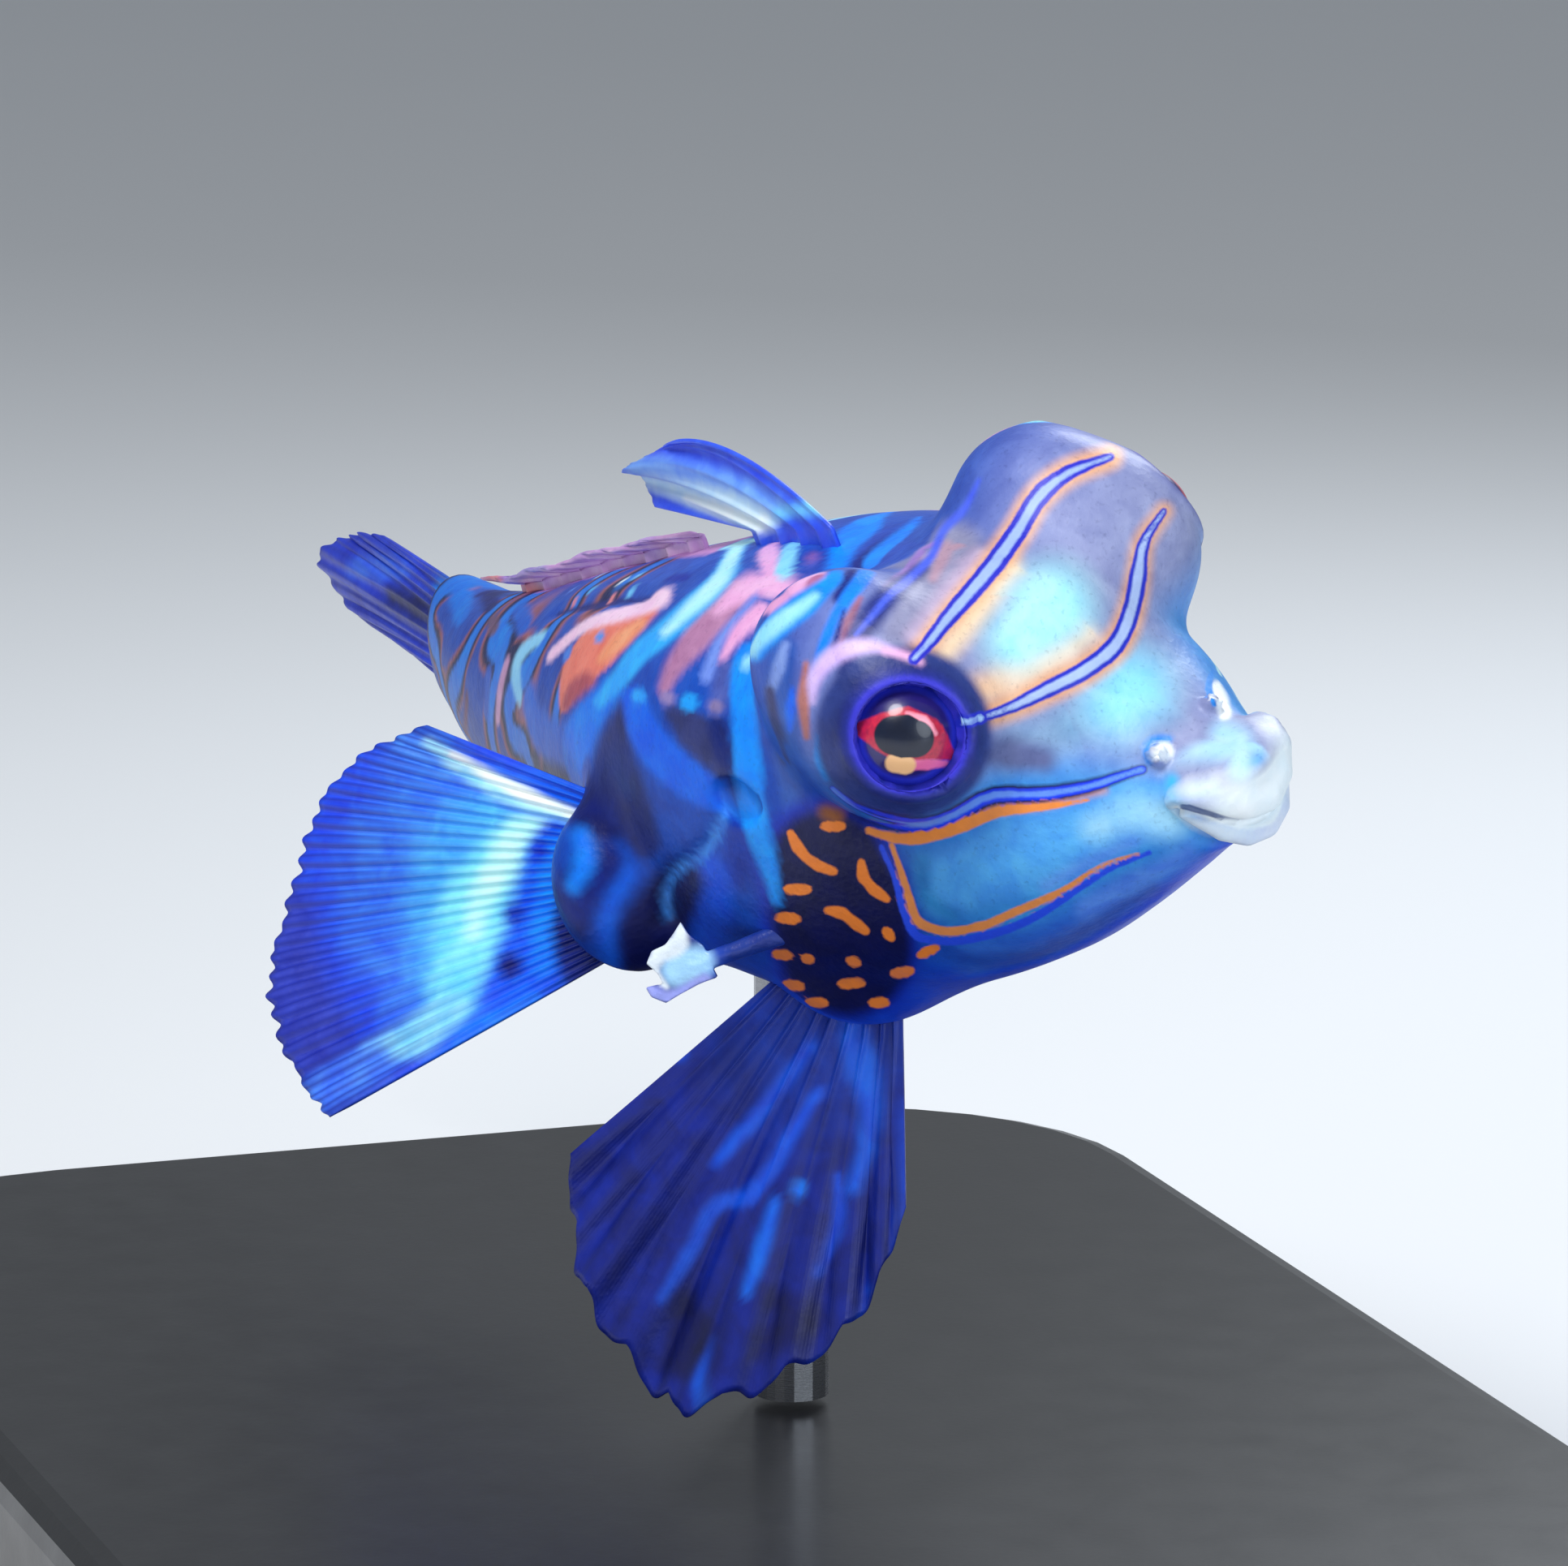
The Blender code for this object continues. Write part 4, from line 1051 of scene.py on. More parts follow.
def build_skin():
    skin = skin_blank(bpy.context.scene.mandarin_skin.grain)
    p = onto_surface(corners(skin), 3)
    for _ in range(2):
        p = onto_surface(relaxed(skin, p), 1)
    move_corners(skin, p)
    refine(skin, lambda m: m[:, 0] < 12.5)
    p = onto_surface(corners(skin), 2)
    for _ in range(2):
        p = onto_surface(relaxed(skin, p, 0.4), 1)
    move_corners(skin, p)
    normals = np.empty(len(p) * 3)
    skin.data.vertices.foreach_get("normal", normals)
    normals = normals.reshape(-1, 3)
    lay = Layer(p, Chart(posed(p), triangles_of(skin), p), normals)
    lift = 0.03 * np.sin(0.9 * p[:, 0] + 1.3 * np.abs(p[:, 1])) * np.sin(1.1 * p[:, 2] + 0.4 * p[:, 0])
    for path, depth, width in RELIEF:
        gap, _ = lay.reach(path, 1.0)
        lift = lift - depth * np.exp(-((gap / width) ** 2))

    ground = base_ground(p)
    bands = flank_bands(p)
    for code, half, soft in (("9a5a60", 1.35, 0.3), ("0a1250", 1.0, 0.16), ("0a78e8", 0.56, 0.12)):
        share = smooth(0.5 - (bands - half) / (2 * soft))[:, None]
        ground = ground * (1 - share) + np.array(paint(code)) * share
    for code, soft, halves, path, *limit in WASHES:
        soft = soft / VIEW_SCALE
        gap, place = lay.reach(path, max(halves) / VIEW_SCALE + soft, *limit)
        share = smooth(0.5 - (gap - widths_at(place, halves)) / (2 * soft))[:, None]
        ground = ground * (1 - share) + np.array(paint(code)) * share
    for side in (1, -1):
        lid = eye_angle(p, side)
        for code, edge, soft in (("202c90", 0.84, 0.2), ("3838c8", 0.70, 0.06), ("101860", 0.63, 0.06)):
            share = smooth((edge - lid) / soft)[:, None]
            ground = ground * (1 - share) + np.array(paint(code)) * share
    keep_colour(skin, "ground", ground)

    for level in ("band", "line", "core"):
        edge, tone = np.full(len(p), FAR), np.zeros((len(p), 3))
        for own, code, halves, path, limit in STROKES:
            if own != level:
                continue
            gap, place = lay.reach(path, max(halves) / VIEW_SCALE + 0.8, limit)
            gap = gap - widths_at(place, halves)
            closer = gap < edge
            edge[closer], tone[closer] = gap[closer], paint(code)
        keep_values(skin, level + "_edge", edge)
        keep_colour(skin, level, tone)
    p = p + normals * (lift * smooth((p[:, 0] - 2.0) / 3.0))[:, None]
    bow = 1 - np.minimum(np.abs(p[:, 1]) / 1.9, 1) ** 2
    upper = rolled(p[:, 0], p[:, 1], p[:, 2], UPPER_ROLL) - 0.55 * bow
    lower = rolled(p[:, 0], p[:, 1], p[:, 2], LOWER_ROLL) - 0.1
    keep_values(skin, "lip", np.minimum(upper, lower))
    inner = np.abs(p[:, 2] - mouth_line(p[:, 1])) - 0.07
    keep_values(skin, "mouth", np.maximum(inner, np.hypot(p[:, 0] - 0.3, p[:, 1]) - 2.1))
    move_corners(skin, posed(p))
    outward(skin)
    skin.data.materials.clear()
    skin.data.materials.append(skin_finish())
    finish_piece(skin, "skin", "skin", "head", "trunk", "tail_stem", "upper_lip", "lower_lip")
    return skin


class Layer:
    """Lays lines of the view on a skin, on both its sides."""

    def __init__(self, points, chart, normals):
        self.chart, self.known, self.skins = chart, {}, []
        for side in (1.0, -1.0):
            p, n = points * (1.0, side, 1.0), normals * (1.0, side, 1.0)
            placed = posed(p)
            faced = unit(posed(p + n * 0.05) - placed) @ view_axes()[0]
            self.skins.append((p, seen_at(placed), smooth((faced - 0.06) / 0.2)))
        self.shown = self.skins[0][2] * smooth((points[:, 1] - 0.3) / 0.6)

    def reach(self, path, reach, limit=SIDES):
        """Distance to the line and the place along it; what lies beyond limit isn't mirrored."""
        key = (path, limit)
        if key not in self.known or self.known[key][0] < reach:
            line, places = fair(path, 9.0 if reach < 0.95 else 18.0)
            found = self.chart.along(line)
            even = len(found) > 4 and np.abs(np.diff(found, axis=0)).max() < 1.2
            for _ in range(4 if even else 0):
                found[1:-1] = (found[:-2] + 2 * found[1:-1] + found[2:]) / 4
            kept = found[:, 1] < limit
            gap, place = np.full(len(self.skins[0][0]), FAR), np.zeros(len(self.skins[0][0]))
            for skin, own in zip(self.skins, (kept | (limit < SIDES), kept)):
                if own.any():
                    spots = line[own] / VIEW_SCALE
                    far, where = nearest_in_view(skin, found[own], spots, places[own], reach)
                    if skin is not self.skins[0]:
                        far = far + FAR * self.shown
                    closer = far < gap
                    gap, place = np.where(closer, far, gap), np.where(closer, where, place)
            self.known[key] = (reach, gap, place)
        return self.known[key][1:]


def eye_angle(p, side):
    """Angle from the gaze at the eye's dome, in radians, large away from it."""
    e = p - np.array(EYE) * (1, side, 1)
    size = np.linalg.norm(e, axis=1)
    angle = np.arccos(np.clip((e @ gaze_axes(side)[0]) / np.maximum(size, 1e-6), -1, 1))
    return np.where(size < DOME_RADIUS + 0.5, angle, 3.0)


def base_ground(p):
    """Body colour before the zones: blue-grey back, deep blue flanks and royal belly, cyan snout."""
    s, z = p[:, 0], p[:, 2]
    _, top, middle, bottom, _ = section(s)
    high = smooth((z - middle) / (top - middle) * 2.0 - 1.0)[:, None]
    low = smooth((middle - z) / (middle - bottom) * 1.5 - 0.4)[:, None]
    front = smooth((11.0 - s) / 6.0)[:, None]
    flank = np.array(paint("0644b0")) * (1 - front) + np.array(paint("3a94e4")) * front
    back = np.array(paint("2450b8")) * (1 - front) + np.array(paint("9098c4")) * front
    belly = np.array(paint("1046d8"))
    out = flank * (1 - high) + back * high
    return out * (1 - low) + belly * low


def skin_finish():
    """Painted, satin skin: crisp markings over mottled zones, a few painted highlights and painted shade
    among them, with fine pores.
    """
    look = bpy.context.scene.mandarin_skin
    made = Finish("painted skin", coat_roughness=0.18)
    made.set("Specular IOR Level", 0.24)
    wobble = (made.noise(1.6, 3.0) - 0.5) * 0.07 + (made.noise(7.0, 2.0) - 0.5) * 0.03
    colour = made.attribute_colour("ground")
    mottle = ((made.noise(1.1, 4.0, distortion=0.5) - 0.5) * 3.0).math("ADD", 0.5, clamp=True)
    cloud = made.mix(mottle, (0.0, 0.0, 0.05), (1.0, 1.0, 1.0))
    colour = made.mix(0.22 * look.mottle, colour, cloud, "SOFT_LIGHT")
    speckle = ((made.noise(6.5, 3.0) - 0.58) * 5.0).math("ADD", 0.0, clamp=True)
    colour = made.mix(speckle * 0.25 * look.mottle, colour, look.speckle)
    streak = made.noise(2.6, 3.0) * 0.45
    for level, soft in (("band", 0.12), ("line", 0.06), ("core", 0.07)):
        own = made.attribute_colour(level)
        tone = made.mix(streak, own, made.mix(0.55, own, look.speckle))
        inside = (made.attribute(level + "_edge") + wobble).inside(soft)
        colour = made.mix(inside, colour, tone)
    lip = (made.attribute("lip") + wobble).inside(0.35)
    colour = made.mix(lip, colour, made.mix(made.noise(1.2, 3.0) * 0.5, look.lips, look.lip_shade))
    colour = made.mix(made.attribute("mouth").inside(0.05) * 0.8, colour, look.mouth)
    made.set("Base Color", colour)
    made.set("Roughness", made.noise(2.5, 3.0) * 0.16 + 0.36)
    made.set("Coat Weight", (made.noise(1.2, 2.0) * 0.08 + 0.03) * (1.0 - lip * 0.8))
    pores = made.node(
        "TexVoronoi", {"feature": "F1"}, {"Vector": made.place(), "Scale": 4.2}, output="Distance"
    )
    made.bump(pores * 0.5 + made.noise(9.0, 4.0) * 0.5, 0.04, 0.5)
    return made.material


class MANDARIN_OT_skin(Operator):
    """Makes the one-piece skin with lips, nostrils and eyelids, and paints its markings, with a few painted
    highlights and painted shade
    """

    bl_idname = "mandarin.skin"
    bl_label = "Skin"

    def execute(self, context):
        build_skin()
        return {"FINISHED"}


# ---------------------------------------------------------------- eyes


class EyeSettings(PropertyGroup):
    cornea: FloatProperty(
        name="Cornea", description="How far the cornea stands out", default=0.1 * MM,
        min=0.0, max=0.4 * MM, subtype="DISTANCE", unit="LENGTH", precision=5,
    )
    pupil: colour_property("Pupil", "Deep blue pupil", "01051c")
    iris: colour_property("Iris", "Crimson ring", "f02848")
    lump: colour_property("Lower lump", "Cream patch under the pupil", "ffc890")
    rim: colour_property("Rim", "Blue outer ring", "2430b8")


PUPIL = ((1102, 907), (1114, 908), (1128, 911))
IRIS = ((1050, 897), (1080, 902), (1112, 907), (1145, 915), (1172, 931))
LUMP = ((1104, 940), (1116, 943))
PINK_BAND = ((1120, 944), (1145, 942), (1165, 941))
IRIS_SHINE = ((1118, 880), (1140, 888), (1152, 904))


def build_eyes():
    paths = None
    look = bpy.context.scene.mandarin_eyes
    finish = eye_finish(look)
    for side, name in ((-1, "right"), (1, "left")):
        eye = added("uv_sphere", segments=96, ring_count=64, radius=1.0)
        p = corners(eye) * MM
        out, up, back = gaze_axes(side)
        near = smooth((p[:, 2] - math.cos(math.radians(40))) / (1 - math.cos(math.radians(40))))
        size = EYE_RADIUS + look.cornea / MM * near
        shape = p * size[:, None]
        behind = np.where(p[:, 2] > 0, 0.0, 9.0)
        local = np.stack([shape[:, 0], shape[:, 1], behind], -1)
        straight = eye_place(side) + shape[:, 0:1] * back + shape[:, 1:2] * up + shape[:, 2:3] * out
        placed = posed(straight, EYE[0])
        move_corners(eye, placed)
        if paths is None:
            chart = Chart(placed, triangles_of(eye), local.copy())
            chart.values[:, 2] = 0.0
            paths = {}
            for key, halves, path in (
                ("pupil", (24, 27, 23), PUPIL),
                ("iris", (4, 22, 36, 28, 6), IRIS),
                ("lump", (13, 12), LUMP),
                ("pink", (6, 7, 4), PINK_BAND),
                ("shine", (3, 5, 3), IRIS_SHINE),
            ):
                line, places = fair(path)
                paths[key] = (chart.along(line), places, halves)
        for key, stroke in paths.items():
            keep_values(eye, key, stroke_gap(local, *stroke))
        keep_values(eye, "ring", np.hypot(local[:, 0], local[:, 1]) + local[:, 2])
        outward(eye)
        eye.data.materials.append(finish)
        finish_piece(eye, "eyeball_" + name, "eyes", "eye_" + name)


def eye_finish(look):
    """Wet-looking eye: blue pupil in a crimson ring with a cream patch, under clear lacquer."""
    made = Finish("glossy eye", roughness=0.3, coat_weight=0.45, coat_roughness=0.04)
    fibre = (made.noise(5.0, 3.0) - 0.5) * 0.06
    ring = made.attribute("ring")
    colour = made.mix(made.noise(2.5, 3.0), paint("28186c"), paint("0c1060"))
    colour = made.mix((ring - 1.16 + fibre).inside(0.14), look.rim, colour)
    colour = made.mix(
        (made.attribute("iris") + fibre).inside(0.08), colour,
        made.mix(made.noise(6.0, 4.0), look.iris, paint("7a1040")),
    )
    colour = made.mix((made.attribute("shine") + fibre).inside(0.08), colour, paint("ffa0b8"))
    colour = made.mix((made.attribute("pink") + fibre).inside(0.08), colour, paint("f070a8"))
    colour = made.mix((made.attribute("lump") + fibre).inside(0.08), colour, look.lump)
    pupil = made.mix(made.noise(1.5, 2.0), look.pupil, paint("021838"))
    colour = made.mix((made.attribute("pupil") + fibre * 0.4).inside(0.05), colour, pupil)
    made.set("Base Color", colour)
    made.bump(made.noise(8.0, 2.0), 0.01, 0.3)
    return made.material


class MANDARIN_OT_eyes(Operator):
    """Makes the two glossy eyeballs behind the eyelids"""

    bl_idname = "mandarin.eyes"
    bl_label = "Eyes"

    def execute(self, context):
        build_eyes()
        return {"FINISHED"}


# ---------------------------------------------------------------- gill spines

SPINE_BASE, SPINE_TIP, SPINE_RADIUS = (13.4, 5.2, -3.4), (17.4, 9.0, -4.2), 0.36
# the ragged flap at its end, in pixels of the view: an upper peak, a bulge, a hook and a lower lobe
FLAP = (
    (838, 1137), (850, 1152), (866, 1166), (876, 1186), (884, 1204), (860, 1214), (838, 1226), (820, 1237),
    (803, 1228), (796, 1217), (812, 1213), (823, 1219), (809, 1200), (797, 1187), (803, 1172),
    (820, 1164), (830, 1150),
)
FLAP_THICKNESS = 0.5
SPINE_WASHES = (
    ("123cb0", 12, (12, 18), ((884, 1180), (868, 1188))),
    ("a8dcfc", 10, (20, 26), ((860, 1186), (840, 1192))),
    ("f2fdff", 6, (7, 13, 12, 6), ((838, 1142), (836, 1162), (812, 1176), (804, 1194))),
    ("f2fdff", 4, (6, 5, 3), ((800, 1186), (810, 1204), (821, 1217))),
    ("a0a8f4", 6, (9, 10, 8), ((800, 1222), (820, 1230), (868, 1208))),
)


def straightened(points):
    """The straight fish's places for posed points near the gills."""
    s = np.full(len(points), 16.0)
    for _ in range(8):
        centre = np.stack([np.interp(s, STEPS, SPINE[:, k]) for k in range(3)], -1)
        forward, left, up = axes_at(s)
        s = s - ((points - centre) * forward).sum(-1)
    away = points - centre
    return np.stack([s, (away * left).sum(-1), (away * up).sum(-1)], -1)


def ragged_flap():
    """The flap at the right spine's end, facing the view, in the straight fish."""
    towards, _, _, centre = view_axes()
    ends = posed(np.array([SPINE_BASE, SPINE_TIP]) * (1, -1, 1))
    columns = seen_at(ends)[:, 0] * VIEW_SCALE
    depths = (ends - centre) @ towards
    shape = bmesh.new()
    rims = []
    for offset in (-FLAP_THICKNESS / 2, FLAP_THICKNESS / 2):
        rim = []
        for pixel in FLAP:
            start, along = sight(pixel)
            share = (pixel[0] - columns[0]) / (columns[1] - columns[0])
            depth = depths[0] + (depths[1] - depths[0]) * share + offset
            place = start + along * ((start - centre) @ towards - depth) / -(along @ towards)
            rim.append(shape.verts.new(Vector(straightened(place[None, :])[0]) * MM))
        rims.append(rim)
    shape.faces.new(rims[0])
    shape.faces.new(rims[1][::-1])
    for k in range(len(FLAP)):
        after = (k + 1) % len(FLAP)
        shape.faces.new((rims[0][k], rims[0][after], rims[1][after], rims[1][k]))
    bmesh.ops.triangulate(shape, faces=shape.faces)
    mesh = bpy.data.meshes.new("flap")
    shape.to_mesh(mesh)
    shape.free()
    flap = bpy.data.objects.new("flap", mesh)
    bpy.context.scene.collection.objects.link(flap)
    return flap


def build_spines():
    finish = Finish("pale spine", roughness=0.4, coat_weight=0.1, coat_roughness=0.2)
    own = finish.attribute_colour("tone")
    streak = finish.noise(2.2, 4.0) * 0.5
    finish.set("Base Color", finish.mix(streak, own, finish.mix(0.6, own, paint("3060c8"))))
    finish.bump(finish.noise(5.0, 4.0), 0.05, 0.7)
    base, tip = np.array(SPINE_BASE), np.array(SPINE_TIP)
    for side, name in ((-1, "right"), (1, "left")):
        shank = added("cone", vertices=20, radius1=1.0, radius2=0.5, depth=1.0)
        apply_modifier(shank, "SUBSURF", subdivision_type="SIMPLE", levels=4, render_levels=4)
        p = corners(shank) * MM
        t = p[:, 2:3] + 0.5
        along = unit(tip - base)
        across = unit(np.cross(along, np.array([0.0, 0.0, 1.0])))
        other = np.cross(along, across)
        at = base + (tip - base) * t * 0.9 + (p[:, 0:1] * across + p[:, 1:2] * other) * SPINE_RADIUS
        move_corners(shank, at * np.array([1, side, 1]))
        outward(shank)
        flap = ragged_flap()
        move_corners(flap, corners(flap) * np.array([1, -side, 1]))
        outward(flap)
        spine = joined([shank, flap])
        apply_modifier(spine, "REMESH", mode="VOXEL", voxel_size=0.045 * MM)
        p = relaxed(spine, corners(spine), 0.5)
        ridges = 0.05 * np.sin(7.0 * p[:, 2] + 2.0 * np.sin(3.0 * p[:, 0]))
        p = p + ridges[:, None] * np.array([-0.4, 0.6 * side, 0.0])
        right = posed(p * np.array([1, -side, 1]))
        plain = np.tile(paint("06207c"), (len(p), 1))
        keep_colour(spine, "tone", washed(plain, seen_at(right), SPINE_WASHES))
        move_corners(spine, posed(p))
        outward(spine)
        spine.data.materials.clear()
        spine.data.materials.append(finish.material)
        finish_piece(spine, "spine_" + name, "lips", "gill_spine_" + name)


class MANDARIN_OT_spines(Operator):
    """Makes the hooked spine at each gill cover"""

    bl_idname = "mandarin.spines"
    bl_label = "Gill spines"

    def execute(self, context):
        build_spines()
        return {"FINISHED"}


# ---------------------------------------------------------------- fins

ROOT_GAP = 0.4
FIRST_DORSAL, SECOND_DORSAL, ANAL = (14.2, 19.4), (24.0, 44.0), (31.0, 46.0)
CAUDAL_ROOT = ((BODY_END, 0.0, 2.25), (BODY_END, 0.0, -2.35))
FIRST_DORSAL_TIP = ((24.2, 0.0, 7.7), (26.6, 0.1, 6.9), (26.4, 0.0, 6.1))
SECOND_DORSAL_TIP = ((28.5, -0.4, 5.1), (38.0, -0.5, 4.5), (48.5, -0.3, 3.5))
ANAL_TIP = ((35.0, 0.3, -8.4), (43.0, 0.4, -7.2), (51.5, 0.2, -4.2))
CAUDAL_TIP = (
    (65.2, -0.6, 2.3), (68.8, -1.7, 1.6), (70.2, -2.3, 0.6), (69.2, -2.0, -0.4), (66.4, -1.0, -1.3),
)
PECTORAL_INNER = ((20.8, 5.4, -1.2), (21.0, 5.6, -2.9), (21.0, 5.4, -4.4))
PECTORAL_SPREAD = (
    (28.3, 8.2, 2.5), (29.4, 9.3, 2.2), (30.6, 11.2, 0.9), (30.9, 13.6, -2.1), (29.3, 15.1, -4.8),
    (27.2, 15.6, -6.8),
)
PECTORAL_FOLDED = ((31.0, 8.4, 0.4), (33.0, 9.0, -1.0), (33.6, 9.6, -2.8), (32.6, 9.8, -4.8),
                   (30.0, 9.6, -6.4))
PELVIC_INNER = ((13.9, 3.3, -5.6), (15.0, 3.9, -5.4), (16.2, 4.4, -5.0))
PELVIC_SPREAD = (
    (14.0, 6.5, -12.4), (15.0, 9.0, -14.8), (16.8, 11.7, -15.5), (18.4, 13.4, -15.2),
    (20.6, 13.3, -12.2), (21.8, 11.8, -8.4),
)
PELVIC_FOLDED = ((20.6, 3.2, -10.1), (24.0, 4.2, -10.5), (25.8, 5.5, -10.3), (25.2, 6.7, -9.8),
                 (22.8, 7.3, -9.2))


class FinSettings(PropertyGroup):
    membrane: FloatProperty(
        name="Membrane", description="Thickness between the rays", default=0.12 * MM,
        min=0.05 * MM, max=0.5 * MM, subtype="DISTANCE", unit="LENGTH", precision=5,
    )
    ray: FloatProperty(
        name="Ray", description="Thickness of a ray at its root", default=0.42 * MM,
        min=0.1 * MM, max=0.9 * MM, subtype="DISTANCE", unit="LENGTH", precision=5,
    )
    pectoral_rays: IntProperty(
        name="Pectoral rays", description="Rays in each pectoral fin", default=24, min=8, max=36
    )
    deep: colour_property("Deep blue", "Dark rays of the fins", "0a1c90")


def along_line(*points):
    """A function of t through a few points, for a fin's root or its outer margin."""
    points = np.array(points, float)
    steps = np.linalg.norm(np.diff(points, axis=0), axis=1)
    lengths = np.concatenate([[0.0], np.cumsum(steps)])
    return lambda t: np.stack([eased(t * lengths[-1], lengths, points[:, k]) for k in range(3)], -1)


def sided(function, side):
    return lambda t: function(t) * np.array([1.0, side, 1.0])


def grown_from(inner, tip):
    """A root just off the skin, where the line from inside to the margin comes out."""

    def place(t):
        start, end = inner(t), tip(t)
        low, high = np.zeros(t.shape), np.ones(t.shape)
        for _ in range(20):
            k = (low + high) / 2
            p = start + (end - start) * k[..., None]
            inside = flesh(p[..., 0], p[..., 1], p[..., 2]) < ROOT_GAP
            low, high = np.where(inside, k, low), np.where(inside, high, k)
        return start + (end - start) * high[..., None]

    return place


def back_line(first, last, side):
    """A root along the back (side 1) or the belly (side -1)."""

    def place(t):
        s = first + (last - first) * t
        return skin_point(s, side * math.pi / 2) + np.array([0.0, 0.0, side * ROOT_GAP])

    return place


def spine_curl(t, r):
    """The first spines arch upwards along the front edge."""
    lift = 1.2 * 4 * r * (1 - r) * (1 - t)
    return np.stack([0 * lift, 0.25 * np.sin(3 * math.pi * t) * r, lift], -1)


def cup(depth, axis):
    """Bows a fan out of its plane along a direction, most in its middle."""
    return lambda t, r: (depth * np.sin(math.pi * t) * r * (1.4 - r))[..., None] * np.array(axis)


def crest_of(t, r, rays, split):
    """1 on a ray's ridge; each ray divides into branches towards the margin."""
    x = np.abs((t * rays) % 1.0 - 0.5)
    branch = split * smooth((r - 0.42) / 0.5)
    return np.exp(-(((x - branch) / (0.17 - 0.06 * r)) ** 2))


def build_fin(name, node, root, tip, rays, finish, rows=46, fine=10, bow=None, station=None,
              split=0.21, scallop=0.045, pleat=0.10, ripple=0.16, waves=3.0, buried=0.9, sink=None, bend=0.0,
              tones=("0a2a90", "1a48d8", "1430b8"), washes=(), shared=None):
    """One fin as a thin pleated sheet with branching rays, thicker on its ridges, and its colours."""
    look = bpy.context.scene.mandarin_fins
    fin = added("grid", x_subdivisions=rays * fine, y_subdivisions=rows, size=1.0)
    p = corners(fin) * MM
    t, r = np.clip(p[:, 0] + 0.5, 0, 1), np.clip(p[:, 1] + 0.5, 0, 1)
    start, end = root(t), tip(t)
    reach = np.linalg.norm(end - start, axis=1)
    crest = crest_of(t, r, rays, split)
    hollow = 1.0 - np.exp(-((((t * rays) % 1.0 - 0.5) / 0.36) ** 2))
    notch = 1.0 - scallop * hollow
    notch = notch + 0.006 * np.sin(t * 57.0) + 0.004 * np.sin(t * 131.0) - bend * np.abs(2 * t - 1) ** 5
    deep = -buried / reach
    k = deep + (notch - deep) * r
    sheet = start + (end - start) * k[:, None]
    if sink:
        below = np.minimum(k, 0.0)[:, None]
        sheet = sheet - (end - start) * below + np.array(sink) * below * reach[:, None] * -1.0
    if bow:
        sheet = sheet + bow(t, np.clip(k, 0, 1))
    sheet = posed(sheet, station)
    step = 1e-3
    share = np.maximum(k, 0.3)[:, None]
    span = posed(start + (tip(np.clip(t + step, 0, 1)) - start) * share, station)
    ahead = posed(start + (tip(t) - start) * share, station)
    across = unit(span - ahead + 1e-9)
    normal = unit(np.cross(across, posed(end, station) - posed(start, station)))
    wave = ripple * np.sin(2 * math.pi * waves * t + 2.2 * r) * smooth(r) * 1.2
    fold = pleat * np.cos(2 * math.pi * t * rays) * smooth(r * 1.4) * (0.6 + 0.4 * r)
    edge = smooth(t * 12) * smooth((1 - t) * 12)
    sheet = sheet + normal * ((wave + fold) * edge)[:, None]
    move_corners(fin, sheet)
    thick = look.membrane + (look.ray * (1.0 - 0.72 * r) - look.membrane) * crest
    thick = np.maximum(thick, look.membrane) * (1.0 - 0.55 * smooth((r - 0.92) / 0.08))
    most = look.ray
    group = fin.vertex_groups.new(name="thickness")
    for index, weight in enumerate(np.clip(thick / most, 0.0, 1.0)):
        group.add([index], float(weight), "REPLACE")
    keep_values(fin, "across", t)
    keep_values(fin, "outward", np.clip(k, 0, 1))
    keep_values(fin, "ridge", crest)
    if shared is None:
        low, high = smooth(k * 2.4)[:, None], smooth(k * 2.4 - 1.4)[:, None]
        root_tone, middle, margin = (np.array(paint(code)) for code in tones)
        shared = (root_tone * (1 - low) + middle * low) * (1 - high) + margin * high
        shared = washed(shared, seen_at(sheet), washes)
    keep_colour(fin, "tone", shared)
    apply_modifier(fin, "SOLIDIFY", thickness=most, offset=0.0, vertex_group="thickness",
                   thickness_vertex_group=0.0, use_even_offset=False)
    outward(fin)
    fin.data.materials.clear()
    fin.data.materials.append(finish)
    finish_piece(fin, name, "fins", node)
    return shared


